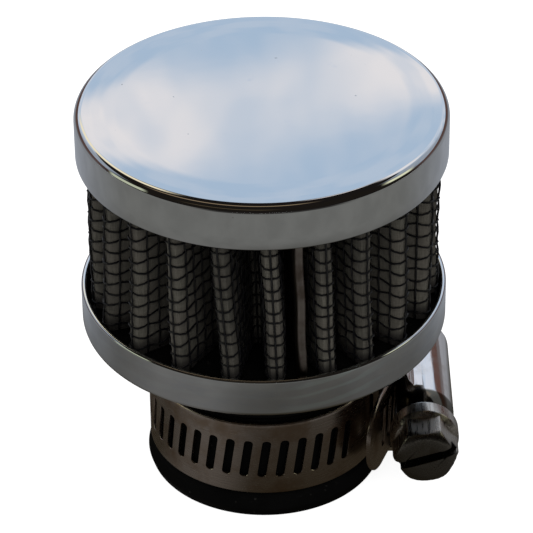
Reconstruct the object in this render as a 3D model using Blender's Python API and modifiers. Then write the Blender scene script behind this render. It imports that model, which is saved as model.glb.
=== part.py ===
"""A small crankcase breather filter: a chrome cap and ring, a pleated gauze pack between
two wire meshes, a rubber neck, and a worm-drive clamp that grips the neck on its pipe.

Units are metres and +Z is up. The origin is the centre of the neck's mouth. An azimuth is
counted from the front (-Y) towards the right (+X), where the clamp's screw is.
"""
import math

import bmesh
import bpy
from mathutils import Matrix, Vector

# Chrome cap and ring
BODY_RADIUS = 0.0255
CAP_HEIGHT = 0.00675
CAP_WALL = 0.0007
CAP_FILLET = 0.0011
RING_HEIGHT = 0.0060
RING_WALL = 0.0008
RING_FILLET = 0.0010
RING_LIP = 0.0024

# Heights of the pleats and of the parts that hold them
PLEAT_SHOW = 0.0209
CAP_COVER = 0.0018
BASE_THICKNESS = 0.0040
COLLAR_HEIGHT = 0.0010
BOSS_HEIGHT = 0.0012

# Rubber neck
NECK_LENGTH = 0.02375
NECK_BORE = 0.0125
NECK_WALL = 0.0038
COLLAR_WALL = 0.0009
NECK_SQUEEZE = 0.0007
NECK_SHOULDER = 0.0015
MOUTH_BULGE = 0.0006
BULGE_SHARES = (0.6, 0.3)
MOUTH_CHAMFER = 0.0006

# Pleats
PLEAT_COUNT = 22
CREST_ROUND = 0.00090
VALLEY_ROUND = 0.00115
CREST_ANGLES = (-65, 0, 65)
VALLEY_ANGLES = (-60, 60)
GAUZE_THICKNESS = 0.0004
SHEET_LEVELS = 5

# Unevenness of the pleats, in degrees from the seam onwards: how far each crest stands from
# its even place, and how much further to the right its foot is than its head
CREST_SHIFTS = (0.4, -1.5, -0.65, 1.9, 0.9, 0.6, -0.8, 1.0, -0.4, -1.2, 0.7, 1.3, -0.6, 0.2,
                -1.1, 0.5, 1.0, -1.0, -1.5, -1.3, -0.5, -0.8)
CREST_TWISTS = (2.0, 1.9, 0.2, -1.2, 0.0, 1.6, 2.4, -0.8, -2.2, 1.0, 2.6, 0.4, -1.4, -2.8,
                -1.0, -3.2, -5.0, -5.8, -1.9, 1.2, 3.7, 2.3)
VALLEY_SHARE = 0.7

# Wire meshes
WIRE_RADIUS = 0.00015
MESH_CLEARANCE = 0.00012
OUTER_COURSE_COUNT = 8
INNER_COURSE_COUNT = 2

# Seam clip
SEAM_AZIMUTH = 12.0
CLIP_WIDTH = 0.0013
CLIP_DEPTH = 0.0026
STEM_WIDTH = 0.0005

# Clamp band
BAND_WIDTH = 0.0120
BAND_THICKNESS = 0.0006
BAND_BOTTOM = 0.0040
BAND_RISE = 0.0023
BAND_OVERLAP = 30.0
RAMP_START = 78.0
TAIL_LENGTH = 0.0060
TAIL_LEAN = 18.0
TAIL_CORNER = 0.0018
CORNER_SHARES = (0.0, 0.12, 0.4)
SLOT_PITCH = 0.0025
SLOT_LENGTH = 0.0060
SLOT_WIDTH = 0.00113
SLOT_LEAN = 6.5
SLOT_MARGIN = 45.0
SADDLE_THICKNESS = 0.0008
SADDLE_ANGLE = 25.0

# Worm screw and its housing, with lengths along the screw counted from the middle of the clamp
WORM_RADIUS = 0.0032
WORM_BACK = 0.0105
WORM_FRONT = 0.0077
HOUSING_WALL = 0.0009
HOUSING_ROUND = 0.0016
HOUSING_NOSE = 0.0034
NOSE_DROP = 0.0014
NOSE_WALL = 0.0014
NOSE_ANGLES = (70, 45, 22, 0)
SKIRT_WALL = 0.0007
SKIRT_LENGTH = 0.0110
SHOULDER_RISE = 0.0010
SCREW_NECK_RADIUS = 0.0020
FLANGE_RADIUS = 0.00483
FLANGE_THICKNESS = 0.0015
FLANGE_SLOPE = 0.0016
HEX_ACROSS_FLATS = 0.0080
HEX_LENGTH = 0.0041
HEX_CHAMFER = 0.0004
HEX_TURN = 34.0
DRIVER_SLOT_WIDTH = 0.0012
DRIVER_SLOT_DEPTH = 0.0016
DRIVER_SLOT_TURN = 18.0

# Gap between neighbours, running clearance of the screw, and fineness of the round parts
GAP = 0.0003
TURN_STEPS = 44
SCREW_STEPS = 20
MERGE = 0.00001

# Heights that follow from the sizes above
RING_TOP = NECK_LENGTH + RING_HEIGHT
CAP_BOTTOM = RING_TOP + PLEAT_SHOW
CAP_TOP = CAP_BOTTOM + CAP_HEIGHT
BASE_TOP = NECK_LENGTH + BASE_THICKNESS
SEAL_BOTTOM = CAP_BOTTOM + CAP_COVER
PACK_BOTTOM = BASE_TOP + GAP
PACK_TOP = SEAL_BOTTOM - GAP

# Radii that follow from the sizes above
NECK_RADIUS = NECK_BORE + NECK_WALL
MESH_OFFSET = GAUZE_THICKNESS / 2 + MESH_CLEARANCE + WIRE_RADIUS
PACK_OUTER_RADIUS = BODY_RADIUS - RING_WALL - GAP
PACK_INNER_RADIUS = NECK_BORE + COLLAR_WALL + GAP
CREST_RADIUS = PACK_OUTER_RADIUS - WIRE_RADIUS - MESH_OFFSET
VALLEY_RADIUS = PACK_INNER_RADIUS + WIRE_RADIUS + MESH_OFFSET
BAND_CENTRE_RADIUS = NECK_RADIUS - NECK_SQUEEZE + GAP + BAND_THICKNESS / 2
PASS_RADIUS = BAND_CENTRE_RADIUS + BAND_RISE
BAND_MIDDLE = BAND_BOTTOM + BAND_WIDTH / 2
WORM_X = PASS_RADIUS + BAND_THICKNESS / 2 + GAP + WORM_RADIUS


def clear_scene():
    """Remove whatever the open file holds."""
    for obj in list(bpy.data.objects):
        bpy.data.objects.remove(obj)


def new_collection(name):
    collection = bpy.data.collections.new(name)
    bpy.context.scene.collection.children.link(collection)
    return collection


def add_part(name, mesh):
    obj = bpy.data.objects.new(name, mesh)
    PARTS.objects.link(obj)
    return obj


def make_tool(obj):
    """Move an object to the collection of cutters and guides, which isn't rendered."""
    for collection in list(obj.users_collection):
        collection.objects.unlink(obj)
    TOOLS.objects.link(obj)
    obj.hide_render = True
    obj.display_type = "WIRE"
    return obj


def finish(obj, colour, roughness, metallic):
    """Give an object a Principled material of its own."""
    material = bpy.data.materials.new(obj.name)
    material.use_nodes = True
    shader = material.node_tree.nodes["Principled BSDF"]
    shader.inputs["Base Color"].default_value = (*colour, 1.0)
    shader.inputs["Roughness"].default_value = roughness
    shader.inputs["Metallic"].default_value = metallic
    obj.data.materials.clear()
    obj.data.materials.append(material)


def boolean(obj, tool, operation):
    cut = obj.modifiers.new(operation.title(), "BOOLEAN")
    cut.operation = operation
    cut.solver = "EXACT"
    cut.object = tool


def polar(radius, azimuth):
    """Point on the ground plane at an azimuth in degrees, 0 at the front, 90 at the right."""
    angle = math.radians(azimuth)
    return Vector((radius * math.sin(angle), -radius * math.cos(angle), 0.0))


def arc(centre_r, centre_z, radius, start, end, count):
    """Points on a circular arc of an (r, z) outline, angles in degrees from +r."""
    points = []
    for i in range(count + 1):
        angle = math.radians(start + (end - start) * i / count)
        points.append((centre_r + radius * math.cos(angle), centre_z + radius * math.sin(angle)))
    return points


def turned(name, outline, steps=TURN_STEPS):
    """Spin an (r, z) outline, which runs down its outer side, about the Z axis."""
    last = len(outline) - 1
    edges = [(i, i + 1) for i in range(last)]
    if outline[0][0] > 0:
        edges.append((last, 0))
    mesh = bpy.data.meshes.new(name)
    mesh.from_pydata([(r, 0.0, z) for r, z in outline], edges, [])
    obj = add_part(name, mesh)
    screw = obj.modifiers.new("Turn", "SCREW")
    screw.axis = "Z"
    screw.angle = math.tau
    screw.steps = steps
    screw.render_steps = steps
    screw.use_merge_vertices = True
    screw.merge_threshold = MERGE
    return obj


def top_cap():
    """Pressed cup: flat top, rounded edge and a straight skirt of one wall thickness."""
    inner_fillet = max(CAP_FILLET - CAP_WALL, CAP_WALL / 4)
    inner_radius = BODY_RADIUS - CAP_WALL
    outline = [(0.0, CAP_TOP)]
    outline += arc(BODY_RADIUS - CAP_FILLET, CAP_TOP - CAP_FILLET, CAP_FILLET, 90, 0, 4)
    outline += [(BODY_RADIUS, CAP_BOTTOM), (inner_radius, CAP_BOTTOM)]
    outline += arc(inner_radius - inner_fillet, CAP_TOP - CAP_WALL - inner_fillet,
                   inner_fillet, 0, 90, 2)
    outline += [(0.0, CAP_TOP - CAP_WALL)]
    obj = turned("top_cap", outline)
    finish(obj, (0.78, 0.79, 0.80), 0.06, 1.0)


def top_seal():
    """Potting disc inside the cap, with a boss that centres the pleats."""
    radius = BODY_RADIUS - CAP_WALL - GAP
    top = CAP_TOP - CAP_WALL - GAP
    boss_radius = PACK_INNER_RADIUS - GAP
    outline = [(0.0, top)]
    outline += [(radius - CAP_FILLET, top), (radius, top - CAP_FILLET), (radius, SEAL_BOTTOM)]
    outline += [(boss_radius, SEAL_BOTTOM), (boss_radius, SEAL_BOTTOM - BOSS_HEIGHT)]
    outline += [(0.0, SEAL_BOTTOM - BOSS_HEIGHT)]
    obj = turned("top_seal", outline)
    finish(obj, (0.03, 0.03, 0.03), 0.6, 0.0)


def bottom_ring():
    """Pressed ring with a rolled upper rim and a lip turned in under the rubber base."""
    inner_radius = BODY_RADIUS - RING_WALL
    inner_fillet = max(RING_FILLET - RING_WALL, RING_WALL / 4)
    lip_radius = BODY_RADIUS - RING_LIP
    outline = arc(BODY_RADIUS - RING_WALL / 2, RING_TOP - RING_WALL / 2, RING_WALL / 2, 180, 0, 4)
    outline += arc(BODY_RADIUS - RING_FILLET, NECK_LENGTH + RING_FILLET, RING_FILLET, 0, -90, 3)
    outline += [(lip_radius, NECK_LENGTH), (lip_radius, NECK_LENGTH + RING_WALL)]
    outline += arc(inner_radius - inner_fillet, NECK_LENGTH + RING_WALL + inner_fillet,
                   inner_fillet, -90, 0, 2)
    obj = turned("bottom_ring", outline)
    finish(obj, (0.74, 0.75, 0.77), 0.09, 1.0)


def rubber_neck():
    """One moulding: a base plate inside the ring, and the neck with its clamp groove."""
    base_radius = BODY_RADIUS - RING_WALL - GAP
    step_radius = BODY_RADIUS - RING_LIP - GAP
    step_height = NECK_LENGTH + RING_WALL + GAP
    groove_radius = NECK_RADIUS - NECK_SQUEEZE
    groove_top = BAND_BOTTOM + BAND_WIDTH + GAP
    groove_bottom = BAND_BOTTOM - GAP
    lip_radius = NECK_RADIUS + MOUTH_BULGE
    bulge = groove_bottom - NECK_SQUEEZE
    collar_top = BASE_TOP + COLLAR_HEIGHT
    collar_radius = PACK_INNER_RADIUS - GAP
    outline = [(NECK_BORE, collar_top), (collar_radius, collar_top), (collar_radius, BASE_TOP)]
    outline += [(base_radius, BASE_TOP), (base_radius, step_height), (step_radius, step_height)]
    outline += [(step_radius, NECK_LENGTH)]
    outline += arc(NECK_RADIUS + NECK_SHOULDER, NECK_LENGTH - NECK_SHOULDER, NECK_SHOULDER,
                   90, 180, 3)
    outline += [(NECK_RADIUS, groove_top + NECK_SQUEEZE), (groove_radius, groove_top)]
    outline += [(groove_radius, groove_bottom)]
    outline += [(NECK_RADIUS, bulge)]
    outline += [(lip_radius, bulge * share) for share in BULGE_SHARES]
    outline += [(NECK_RADIUS, 0.0), (NECK_BORE + MOUTH_CHAMFER, 0.0), (NECK_BORE, MOUTH_CHAMFER)]
    obj = turned("rubber_neck", outline)
    finish(obj, (0.018, 0.018, 0.018), 0.55, 0.0)


def fold_points(centre_radius, azimuth, radius, angles, outward):
    """Points of one fold's arc, which bulges away from the axis (1) or towards it (-1)."""
    centre = polar(centre_radius, azimuth)
    radial = polar(1.0, azimuth)
    tangent = polar(1.0, azimuth + 90)
    points = []
    for angle in angles:
        turn = math.radians(angle)
        step = radial * (outward * math.cos(turn)) + tangent * math.sin(turn)
        points.append(centre + step * radius)
    return points


def crest_twist(i):
    """Degrees that a crest's foot stands further to the right than its head."""
    return CREST_TWISTS[i % len(CREST_TWISTS)]


def valley_twist(i):
    """The same for the valley before a crest: a share of its two neighbours' mean."""
    return VALLEY_SHARE * (crest_twist(i - 1) + crest_twist(i)) / 2


def fold_loop(z):
    """Middle surface of the pleats at a height, counter-clockwise from the seam's valley."""
    pitch = 360 / PLEAT_COUNT
    lean = 0.5 - (z - PACK_BOTTOM) / (PACK_TOP - PACK_BOTTOM)
    valley_centre = VALLEY_RADIUS + VALLEY_ROUND * math.cos(math.radians(VALLEY_ANGLES[0]))
    points = []
    for i in range(PLEAT_COUNT):
        valley = SEAM_AZIMUTH + pitch * i + valley_twist(i) * lean
        shift = CREST_SHIFTS[i % len(CREST_SHIFTS)]
        crest = SEAM_AZIMUTH + pitch * (i + 0.5) + shift + crest_twist(i) * lean
        points += fold_points(valley_centre, valley, VALLEY_ROUND, VALLEY_ANGLES, -1)
        points += fold_points(CREST_RADIUS - CREST_ROUND, crest, CREST_ROUND, CREST_ANGLES, 1)
    return [point + Vector((0.0, 0.0, z)) for point in points]


def offset_loop(points, distance):
    """Move a counter-clockwise loop outwards by a distance, with mitred corners."""
    moved = []
    for i, point in enumerate(points):
        before = (point - points[i - 1]).normalized()
        after = (points[(i + 1) % len(points)] - point).normalized()
        first = Vector((before.y, -before.x, 0.0))
        second = Vector((after.y, -after.x, 0.0))
        moved.append(point + (first + second) * (distance / (1 + first.dot(second))))
    return moved


def pleated_gauze():
    """The folded sheet: its middle surface, thickened with Solidify."""
    step = (PACK_TOP - PACK_BOTTOM) / SHEET_LEVELS
    loops = [fold_loop(PACK_BOTTOM + step * i) for i in range(SHEET_LEVELS + 1)]
    count = len(loops[0])
    mesh = bpy.data.meshes.new("pleated_gauze")
    verts = [point for loop in loops for point in loop]
    faces = []
    for level in range(SHEET_LEVELS):
        for i in range(count):
            low = level * count + i
            side = level * count + (i + 1) % count
            faces.append((low, side, side + count, low + count))
    mesh.from_pydata(verts, [], faces)
    obj = add_part("pleated_gauze", mesh)
    wall = obj.modifiers.new("Sheet", "SOLIDIFY")
    wall.thickness = GAUZE_THICKNESS
    wall.offset = 0.0
    wall.use_even_offset = True
    finish(obj, (0.20, 0.19, 0.17), 0.9, 0.0)


def curve_object(name, routes, cyclic, dimensions="3D"):
    """Curve object with one straight-sided spline for each route."""
    curve = bpy.data.curves.new(name, "CURVE")
    curve.dimensions = dimensions
    for route in routes:
        spline = curve.splines.new("POLY")
        spline.points.add(len(route) - 1)
        spline.use_cyclic_u = cyclic
        for target, point in zip(spline.points, route):
            target.co = (*point, 1.0)
    obj = bpy.data.objects.new(name, curve)
    PARTS.objects.link(obj)
    return obj


def meshed(guide, lift=0.0):
    """Turn a curve object into a mesh object of closed bodies, raised by a height."""
    bpy.context.view_layer.update()
    evaluated = guide.evaluated_get(bpy.context.evaluated_depsgraph_get())
    mesh = bpy.data.meshes.new_from_object(evaluated)
    mesh.name = guide.name
    bpy.data.objects.remove(guide)
    weld = bmesh.new()
    weld.from_mesh(mesh)
    bmesh.ops.remove_doubles(weld, verts=weld.verts, dist=MERGE / 10)
    bmesh.ops.recalc_face_normals(weld, faces=weld.faces)
    bmesh.ops.translate(weld, vec=(0.0, 0.0, lift), verts=weld.verts)
    weld.to_mesh(mesh)
    weld.free()
    return add_part(mesh.name, mesh)


def wire_section():
    """Three-sided section for the mesh wires."""
    corners = [polar(WIRE_RADIUS, 90 - 120 * i) for i in range(3)]
    return make_tool(curve_object("wire_section", [corners], True, "2D"))


def wires(name, routes, cyclic, section):
    """Sweep the wire section along several routes, as one mesh of closed wires."""
    guide = curve_object(name, routes, cyclic)
    guide.data.twist_mode = "Z_UP" if cyclic else "MINIMUM"
    guide.data.bevel_mode = "OBJECT"
    guide.data.bevel_object = section
    guide.data.use_fill_caps = not cyclic
    return meshed(guide)


def wire_mesh(name, distance, courses, stand_points, section):
    """A folded wire mesh: level courses that follow the pleats, and one upright a fold."""
    height = PACK_TOP - PACK_BOTTOM
    levels = [PACK_BOTTOM + height * (i + 0.5) / courses for i in range(courses)]
    rings = [offset_loop(fold_loop(z), distance) for z in levels]
    ends = [offset_loop(fold_loop(z), distance) for z in (PACK_BOTTOM, PACK_TOP)]
    per_fold = len(VALLEY_ANGLES) + len(CREST_ANGLES)
    stands = [[stand_points(loop, per_fold * i) for loop in ends] for i in range(PLEAT_COUNT)]
    obj = wires(name, rings, True, section)
    uprights = make_tool(wires(name + "_uprights", stands, False, section))
    boolean(obj, uprights, "UNION")
    finish(obj, (0.02, 0.02, 0.02), 0.4, 0.3)


def crest_point(loop, start):
    """Top of the crest that follows a valley's first point."""
    return loop[start + len(VALLEY_ANGLES) + len(CREST_ANGLES) // 2]


def valley_point(loop, start):
    """Middle of a valley's floor."""
    return (loop[start] + loop[start + 1]) / 2


def flat_piece(name, outline, bottom, top):
    """Extrude a closed outline on the ground plane between two heights."""
    guide = curve_object(name, [outline], True, "2D")
    guide.data.fill_mode = "BOTH"
    guide.data.extrude = (top - bottom) / 2
    return meshed(guide, (bottom + top) / 2)


def seam_clip():
    """Folded metal strip that stands in the seam's valley: a stem, and a wider outer bead."""
    foot = VALLEY_RADIUS + MESH_OFFSET + WIRE_RADIUS + GAP
    tip = CREST_RADIUS + GAUZE_THICKNESS / 2
    neck = tip - CLIP_DEPTH
    half = CLIP_WIDTH / 2
    stem = STEM_WIDTH / 2
    sides = [(foot, stem), (neck, stem), (neck + half, half), (tip - half / 2, half),
             (tip, half / 2)]
    radial = polar(1.0, SEAM_AZIMUTH)
    tangent = polar(1.0, SEAM_AZIMUTH + 90)
    outline = [radial * r - tangent * w for r, w in sides]
    outline += [radial * r + tangent * w for r, w in reversed(sides)]
    obj = flat_piece("seam_clip", outline, PACK_BOTTOM, PACK_TOP)
    for vertex in obj.data.vertices:
        lean = 0.5 - (vertex.co.z - PACK_BOTTOM) / (PACK_TOP - PACK_BOTTOM)
        vertex.co = Matrix.Rotation(math.radians(valley_twist(0) * lean), 3, "Z") @ vertex.co
    finish(obj, (0.35, 0.32, 0.29), 0.35, 1.0)


def band_route():
    """Dense centre line of the band, from its fixed end under the saddle to its tail.

    It runs once round the neck by the front, climbs over its own fixed end in a smooth ramp,
    passes under the worm, and leaves the housing as a straight tail.
    """
    ramp_start = 90 + RAMP_START
    ramp_end = 90 + TAIL_LEAN
    tail_start = 90 - TAIL_LEAN
    first = 90 + BAND_OVERLAP
    azimuths = [first - i for i in range(int(first - (ramp_start - 360)) + 1)]
    points = [polar(BAND_CENTRE_RADIUS, a) for a in azimuths]
    for i in range(1, int(ramp_start - tail_start) + 1):
        share = min(i / (ramp_start - ramp_end), 1.0)
        climb = share * share * (3 - 2 * share)
        points.append(polar(BAND_CENTRE_RADIUS + BAND_RISE * climb, ramp_start - i))
    heading = (points[-1] - points[-2]).normalized()
    tail = 24
    foot = points[-1].copy()
    points += [foot + heading * (TAIL_LENGTH * i / tail) for i in range(1, tail + 1)]
    return points


def band_stations():
    """Points along the band's centre line, one slot pitch apart, counted from the tail's tip."""
    route = band_route()[::-1]
    stations = [route[0]]
    walked = 0.0
    target = SLOT_PITCH
    for start, end in zip(route, route[1:]):
        length = (end - start).length
        while walked + length >= target:
            stations.append(start.lerp(end, (target - walked) / length))
            target += SLOT_PITCH
        walked += length
    return stations


def tail_half_width(distance):
    """Half the band's width at a distance from the tail's tip, whose corners are rounded."""
    if distance >= TAIL_CORNER:
        return BAND_WIDTH / 2
    short = TAIL_CORNER - math.sqrt(TAIL_CORNER ** 2 - (TAIL_CORNER - distance) ** 2)
    return BAND_WIDTH / 2 - short


def slot_cutters(stations):
    """One slanted cutter for each slot, halfway between two stations."""
    mesh = bpy.data.meshes.new("band_slots")
    cutters = bmesh.new()
    for start, end in zip(stations[2:], stations[3:]):
        middle = (start + end) / 2
        azimuth = math.degrees(math.atan2(middle.x, -middle.y)) % 360
        fixed_end = 90 - SLOT_MARGIN < azimuth < 90 + SLOT_MARGIN
        if fixed_end and middle.length < BAND_CENTRE_RADIUS + BAND_THICKNESS / 4:
            continue
        along = (end - start).normalized()
        across = Vector((along.y, -along.x, 0.0))
        lean = Matrix.Rotation(math.radians(-SLOT_LEAN), 4, "X")
        frame = Matrix((across, along, (0.0, 0.0, 1.0))).transposed().to_4x4()
        size = Matrix.Diagonal((4 * BAND_THICKNESS, SLOT_WIDTH, SLOT_LENGTH, 1.0))
        place = Matrix.Translation(middle + Vector((0.0, 0.0, BAND_MIDDLE)))
        bmesh.ops.create_cube(cutters, size=1.0, matrix=place @ frame @ lean @ size)
    cutters.to_mesh(mesh)
    cutters.free()
    return make_tool(add_part("band_slots", mesh))


def clamp_band():
    """The punched band: one strip along its route, thickened, with its slots cut."""
    stations = band_stations()
    corner = [TAIL_CORNER * share for share in CORNER_SHARES]
    route = [stations[0].lerp(stations[1], distance / SLOT_PITCH) for distance in corner]
    widths = [tail_half_width(distance) for distance in corner]
    for i, station in enumerate(stations[1:], start=1):
        route.append(station)
        widths.append(tail_half_width(i * SLOT_PITCH))
    verts = []
    for point, half in zip(route, widths):
        verts.append(point + Vector((0.0, 0.0, BAND_MIDDLE - half)))
        verts.append(point + Vector((0.0, 0.0, BAND_MIDDLE + half)))
    faces = [(2 * i, 2 * i + 2, 2 * i + 3, 2 * i + 1) for i in range(len(route) - 1)]
    mesh = bpy.data.meshes.new("clamp_band")
    mesh.from_pydata(verts, [], faces)
    obj = add_part("clamp_band", mesh)
    wall = obj.modifiers.new("Strip", "SOLIDIFY")
    wall.thickness = BAND_THICKNESS
    wall.offset = 0.0
    wall.use_even_offset = True
    boolean(obj, slot_cutters(stations), "DIFFERENCE")
    finish(obj, (0.42, 0.38, 0.34), 0.30, 1.0)


def clamp_saddle():
    """Curved plate between the band's fixed end and the layer under the worm."""
    inner = BAND_CENTRE_RADIUS + BAND_THICKNESS / 2 + GAP
    outer = inner + SADDLE_THICKNESS
    count = 10
    turns = [90 - SADDLE_ANGLE + 2 * SADDLE_ANGLE * i / count for i in range(count + 1)]
    outline = [polar(outer, a) for a in turns] + [polar(inner, a) for a in reversed(turns)]
    obj = flat_piece("clamp_saddle", outline, BAND_BOTTOM, BAND_BOTTOM + BAND_WIDTH)
    finish(obj, (0.45, 0.42, 0.37), 0.30, 1.0)


def box(name, low, high):
    """A cube primitive stretched between two corners."""
    mesh = bpy.data.meshes.new(name)
    cube = bmesh.new()
    bmesh.ops.create_cube(cube, size=1.0)
    size = Vector(high) - Vector(low)
    middle = (Vector(high) + Vector(low)) / 2
    bmesh.ops.transform(cube, matrix=Matrix.Diagonal((*size, 1.0)), verts=cube.verts)
    bmesh.ops.translate(cube, vec=middle, verts=cube.verts)
    cube.to_mesh(mesh)
    cube.free()
    return add_part(name, mesh)


def on_worm_axis(obj):
    """Put a part turned about its own Z on the worm's axis, with +Z towards the head."""
    obj.location = (WORM_X, 0.0, BAND_MIDDLE)
    obj.rotation_euler = (math.radians(90), 0.0, 0.0)


def clamp_housing():
    """Tube round the worm, closed at the back, with a rounded nose and a skirt over the band."""
    bore = WORM_RADIUS + GAP
    outer = bore + HOUSING_WALL
    back = -WORM_BACK - GAP - HOUSING_WALL
    front = WORM_FRONT + GAP
    face = front + NOSE_WALL
    neck = SCREW_NECK_RADIUS + GAP
    nose = face - HOUSING_NOSE
    outline = [(0.0, face)]
    for turn in NOSE_ANGLES:
        angle = math.radians(turn)
        reach = math.sin(angle) / math.sin(math.radians(NOSE_ANGLES[0]))
        outline.append((outer - NOSE_DROP * (1 - math.cos(angle)), nose + HOUSING_NOSE * reach))
    outline += arc(outer - HOUSING_ROUND, back + HOUSING_ROUND, HOUSING_ROUND, 0, -90, 3)
    outline += [(0.0, back)]
    obj = turned("clamp_housing", outline, SCREW_STEPS)
    on_worm_axis(obj)

    half = BAND_WIDTH / 2 + GAP
    side = half + SKIRT_WALL
    low = BAND_CENTRE_RADIUS + BAND_THICKNESS / 2 + GAP - WORM_X
    roof = SKIRT_WALL - WORM_RADIUS
    ridge = roof + SHOULDER_RISE
    corners = [(low, -side), (low, side), (roof, side), (ridge, outer), (ridge, -outer),
               (roof, -side)]
    skirt = flat_piece("housing_skirt", [Vector((x, y, 0.0)) for x, y in corners],
                       -SKIRT_LENGTH / 2, SKIRT_LENGTH / 2)
    on_worm_axis(make_tool(skirt))
    boolean(obj, skirt, "UNION")

    end = face + GAP
    cavity = [(0.0, end), (neck, end), (neck, front), (bore, front)]
    cavity += [(bore, back + HOUSING_WALL), (0.0, back + HOUSING_WALL)]
    hollow = make_tool(turned("housing_hollow", cavity, SCREW_STEPS))
    on_worm_axis(hollow)
    boolean(obj, hollow, "DIFFERENCE")

    channel = box("housing_channel", (0.0, -BODY_RADIUS, BAND_MIDDLE - half),
                  (WORM_X - WORM_RADIUS, BODY_RADIUS, BAND_MIDDLE + half))
    boolean(obj, make_tool(channel), "DIFFERENCE")
    finish(obj, (0.70, 0.69, 0.70), 0.16, 1.0)


def clamp_screw():
    """Worm screw: a slotted, chamfered hexagon head on a sloped flange, and the worm."""
    front = WORM_FRONT + GAP
    base = front + NOSE_WALL + GAP
    seat = base + FLANGE_THICKNESS
    foot = seat + FLANGE_SLOPE
    end = foot + HEX_LENGTH
    flat = HEX_ACROSS_FLATS / 2
    corner = flat / math.cos(math.pi / 6)
    mesh = bpy.data.meshes.new("clamp_screw")
    head = bmesh.new()
    bmesh.ops.create_cone(head, cap_ends=True, segments=6, radius1=corner, radius2=corner,
                          depth=end - seat)
    lift = Matrix.Translation((0.0, 0.0, (end + seat) / 2))
    turn = Matrix.Rotation(math.radians(HEX_TURN), 4, "Z")
    bmesh.ops.transform(head, matrix=lift @ turn, verts=head.verts)
    head.to_mesh(mesh)
    head.free()
    obj = add_part("clamp_screw", mesh)
    on_worm_axis(obj)

    rim = corner + GAP
    cone = [(0.0, end), (flat - HEX_CHAMFER, end), (rim, end - (rim - flat + HEX_CHAMFER))]
    cone += [(rim, 0.0), (0.0, 0.0)]
    chamfer = make_tool(turned("head_chamfer", cone, SCREW_STEPS))
    on_worm_axis(chamfer)
    boolean(obj, chamfer, "INTERSECT")

    edge = FLANGE_THICKNESS / 4
    shaft = [(0.0, foot), (flat, foot), (FLANGE_RADIUS - edge, seat)]
    shaft += [(FLANGE_RADIUS, seat - edge), (FLANGE_RADIUS, base + edge)]
    shaft += [(FLANGE_RADIUS - edge, base), (SCREW_NECK_RADIUS, base)]
    shaft += [(SCREW_NECK_RADIUS, front - GAP), (WORM_RADIUS, front - GAP)]
    shaft += [(WORM_RADIUS, -WORM_BACK), (0.0, -WORM_BACK)]
    worm = make_tool(turned("worm_shaft", shaft, SCREW_STEPS))
    on_worm_axis(worm)
    boolean(obj, worm, "UNION")

    half = DRIVER_SLOT_WIDTH / 2
    slot = box("driver_slot", (-corner - GAP, -half, end - DRIVER_SLOT_DEPTH),
               (corner + GAP, half, end + GAP))
    slot.data.transform(Matrix.Rotation(math.radians(DRIVER_SLOT_TURN), 4, "Z"))
    on_worm_axis(make_tool(slot))
    boolean(obj, slot, "DIFFERENCE")
    finish(obj, (0.40, 0.37, 0.34), 0.28, 1.0)


def build():
    """Make every piece of the filter and its clamp."""
    top_cap()
    top_seal()
    bottom_ring()
    rubber_neck()
    pleated_gauze()
    section = wire_section()
    wire_mesh("outer_mesh", MESH_OFFSET, OUTER_COURSE_COUNT, crest_point, section)
    wire_mesh("inner_mesh", -MESH_OFFSET, INNER_COURSE_COUNT, valley_point, section)
    seam_clip()
    clamp_band()
    clamp_saddle()
    clamp_housing()
    clamp_screw()


clear_scene()
PARTS = new_collection("crankcase_breather_filter")
TOOLS = new_collection("cutters_and_guides")
build()
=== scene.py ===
# %% [markdown]
# # A crankcase breather filter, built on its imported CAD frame
#
# This lesson dresses a small engine breather filter: a chrome cap and ring, a pleated gauze
# pack between two folded wire meshes, a rubber neck and a worm-drive hose clamp. The CAD
# model is loaded first and stays where it is. Every surface that is made here is worked out
# with numpy, in metres, in the same place as the CAD part that it stands for.

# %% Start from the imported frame
import math

import bmesh
import bpy
import numpy as np
from mathutils import Matrix, Vector


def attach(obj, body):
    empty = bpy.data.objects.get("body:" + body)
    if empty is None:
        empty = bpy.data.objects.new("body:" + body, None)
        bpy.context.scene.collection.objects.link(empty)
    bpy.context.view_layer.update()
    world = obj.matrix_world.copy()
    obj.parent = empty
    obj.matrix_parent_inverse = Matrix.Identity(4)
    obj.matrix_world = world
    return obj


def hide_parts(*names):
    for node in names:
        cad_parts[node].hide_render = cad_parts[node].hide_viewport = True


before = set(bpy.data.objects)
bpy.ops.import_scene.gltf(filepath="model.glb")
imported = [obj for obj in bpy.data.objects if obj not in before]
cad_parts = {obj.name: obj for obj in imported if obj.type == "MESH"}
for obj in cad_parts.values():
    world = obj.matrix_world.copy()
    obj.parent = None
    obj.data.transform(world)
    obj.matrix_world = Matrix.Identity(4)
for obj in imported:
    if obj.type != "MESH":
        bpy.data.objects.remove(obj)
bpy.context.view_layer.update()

MM = 0.001

# %% [markdown]
# ## Camera
#
# The picture was taken from about 34 degrees above the filter with a long lens, so the cap
# and the ring look like near-parallel ellipses. The place and the angles come from fitting
# those two ellipses. The camera is rolled by less than a degree, as a hand-held one is.

# %% Camera at the photograph's angle
CAMERA_PLACE = (0.00042, -0.38357, 0.28665)
CAMERA_ELEVATION = 33.655
CAMERA_ROLL = -0.653
LENS = 222.9

camera = bpy.data.objects.new("camera", bpy.data.cameras.new("camera"))
bpy.context.scene.collection.objects.link(camera)
camera.data.lens = LENS
camera.data.clip_end = 10.0
tilt = Matrix.Rotation(math.radians(90 - CAMERA_ELEVATION), 4, "X")
roll = Matrix.Rotation(math.radians(CAMERA_ROLL), 4, "Z")
camera.matrix_world = Matrix.Translation(CAMERA_PLACE) @ tilt @ roll
bpy.context.scene.camera = camera
bpy.context.scene.view_settings.view_transform = "Standard"
print("camera at", CAMERA_PLACE)

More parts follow.
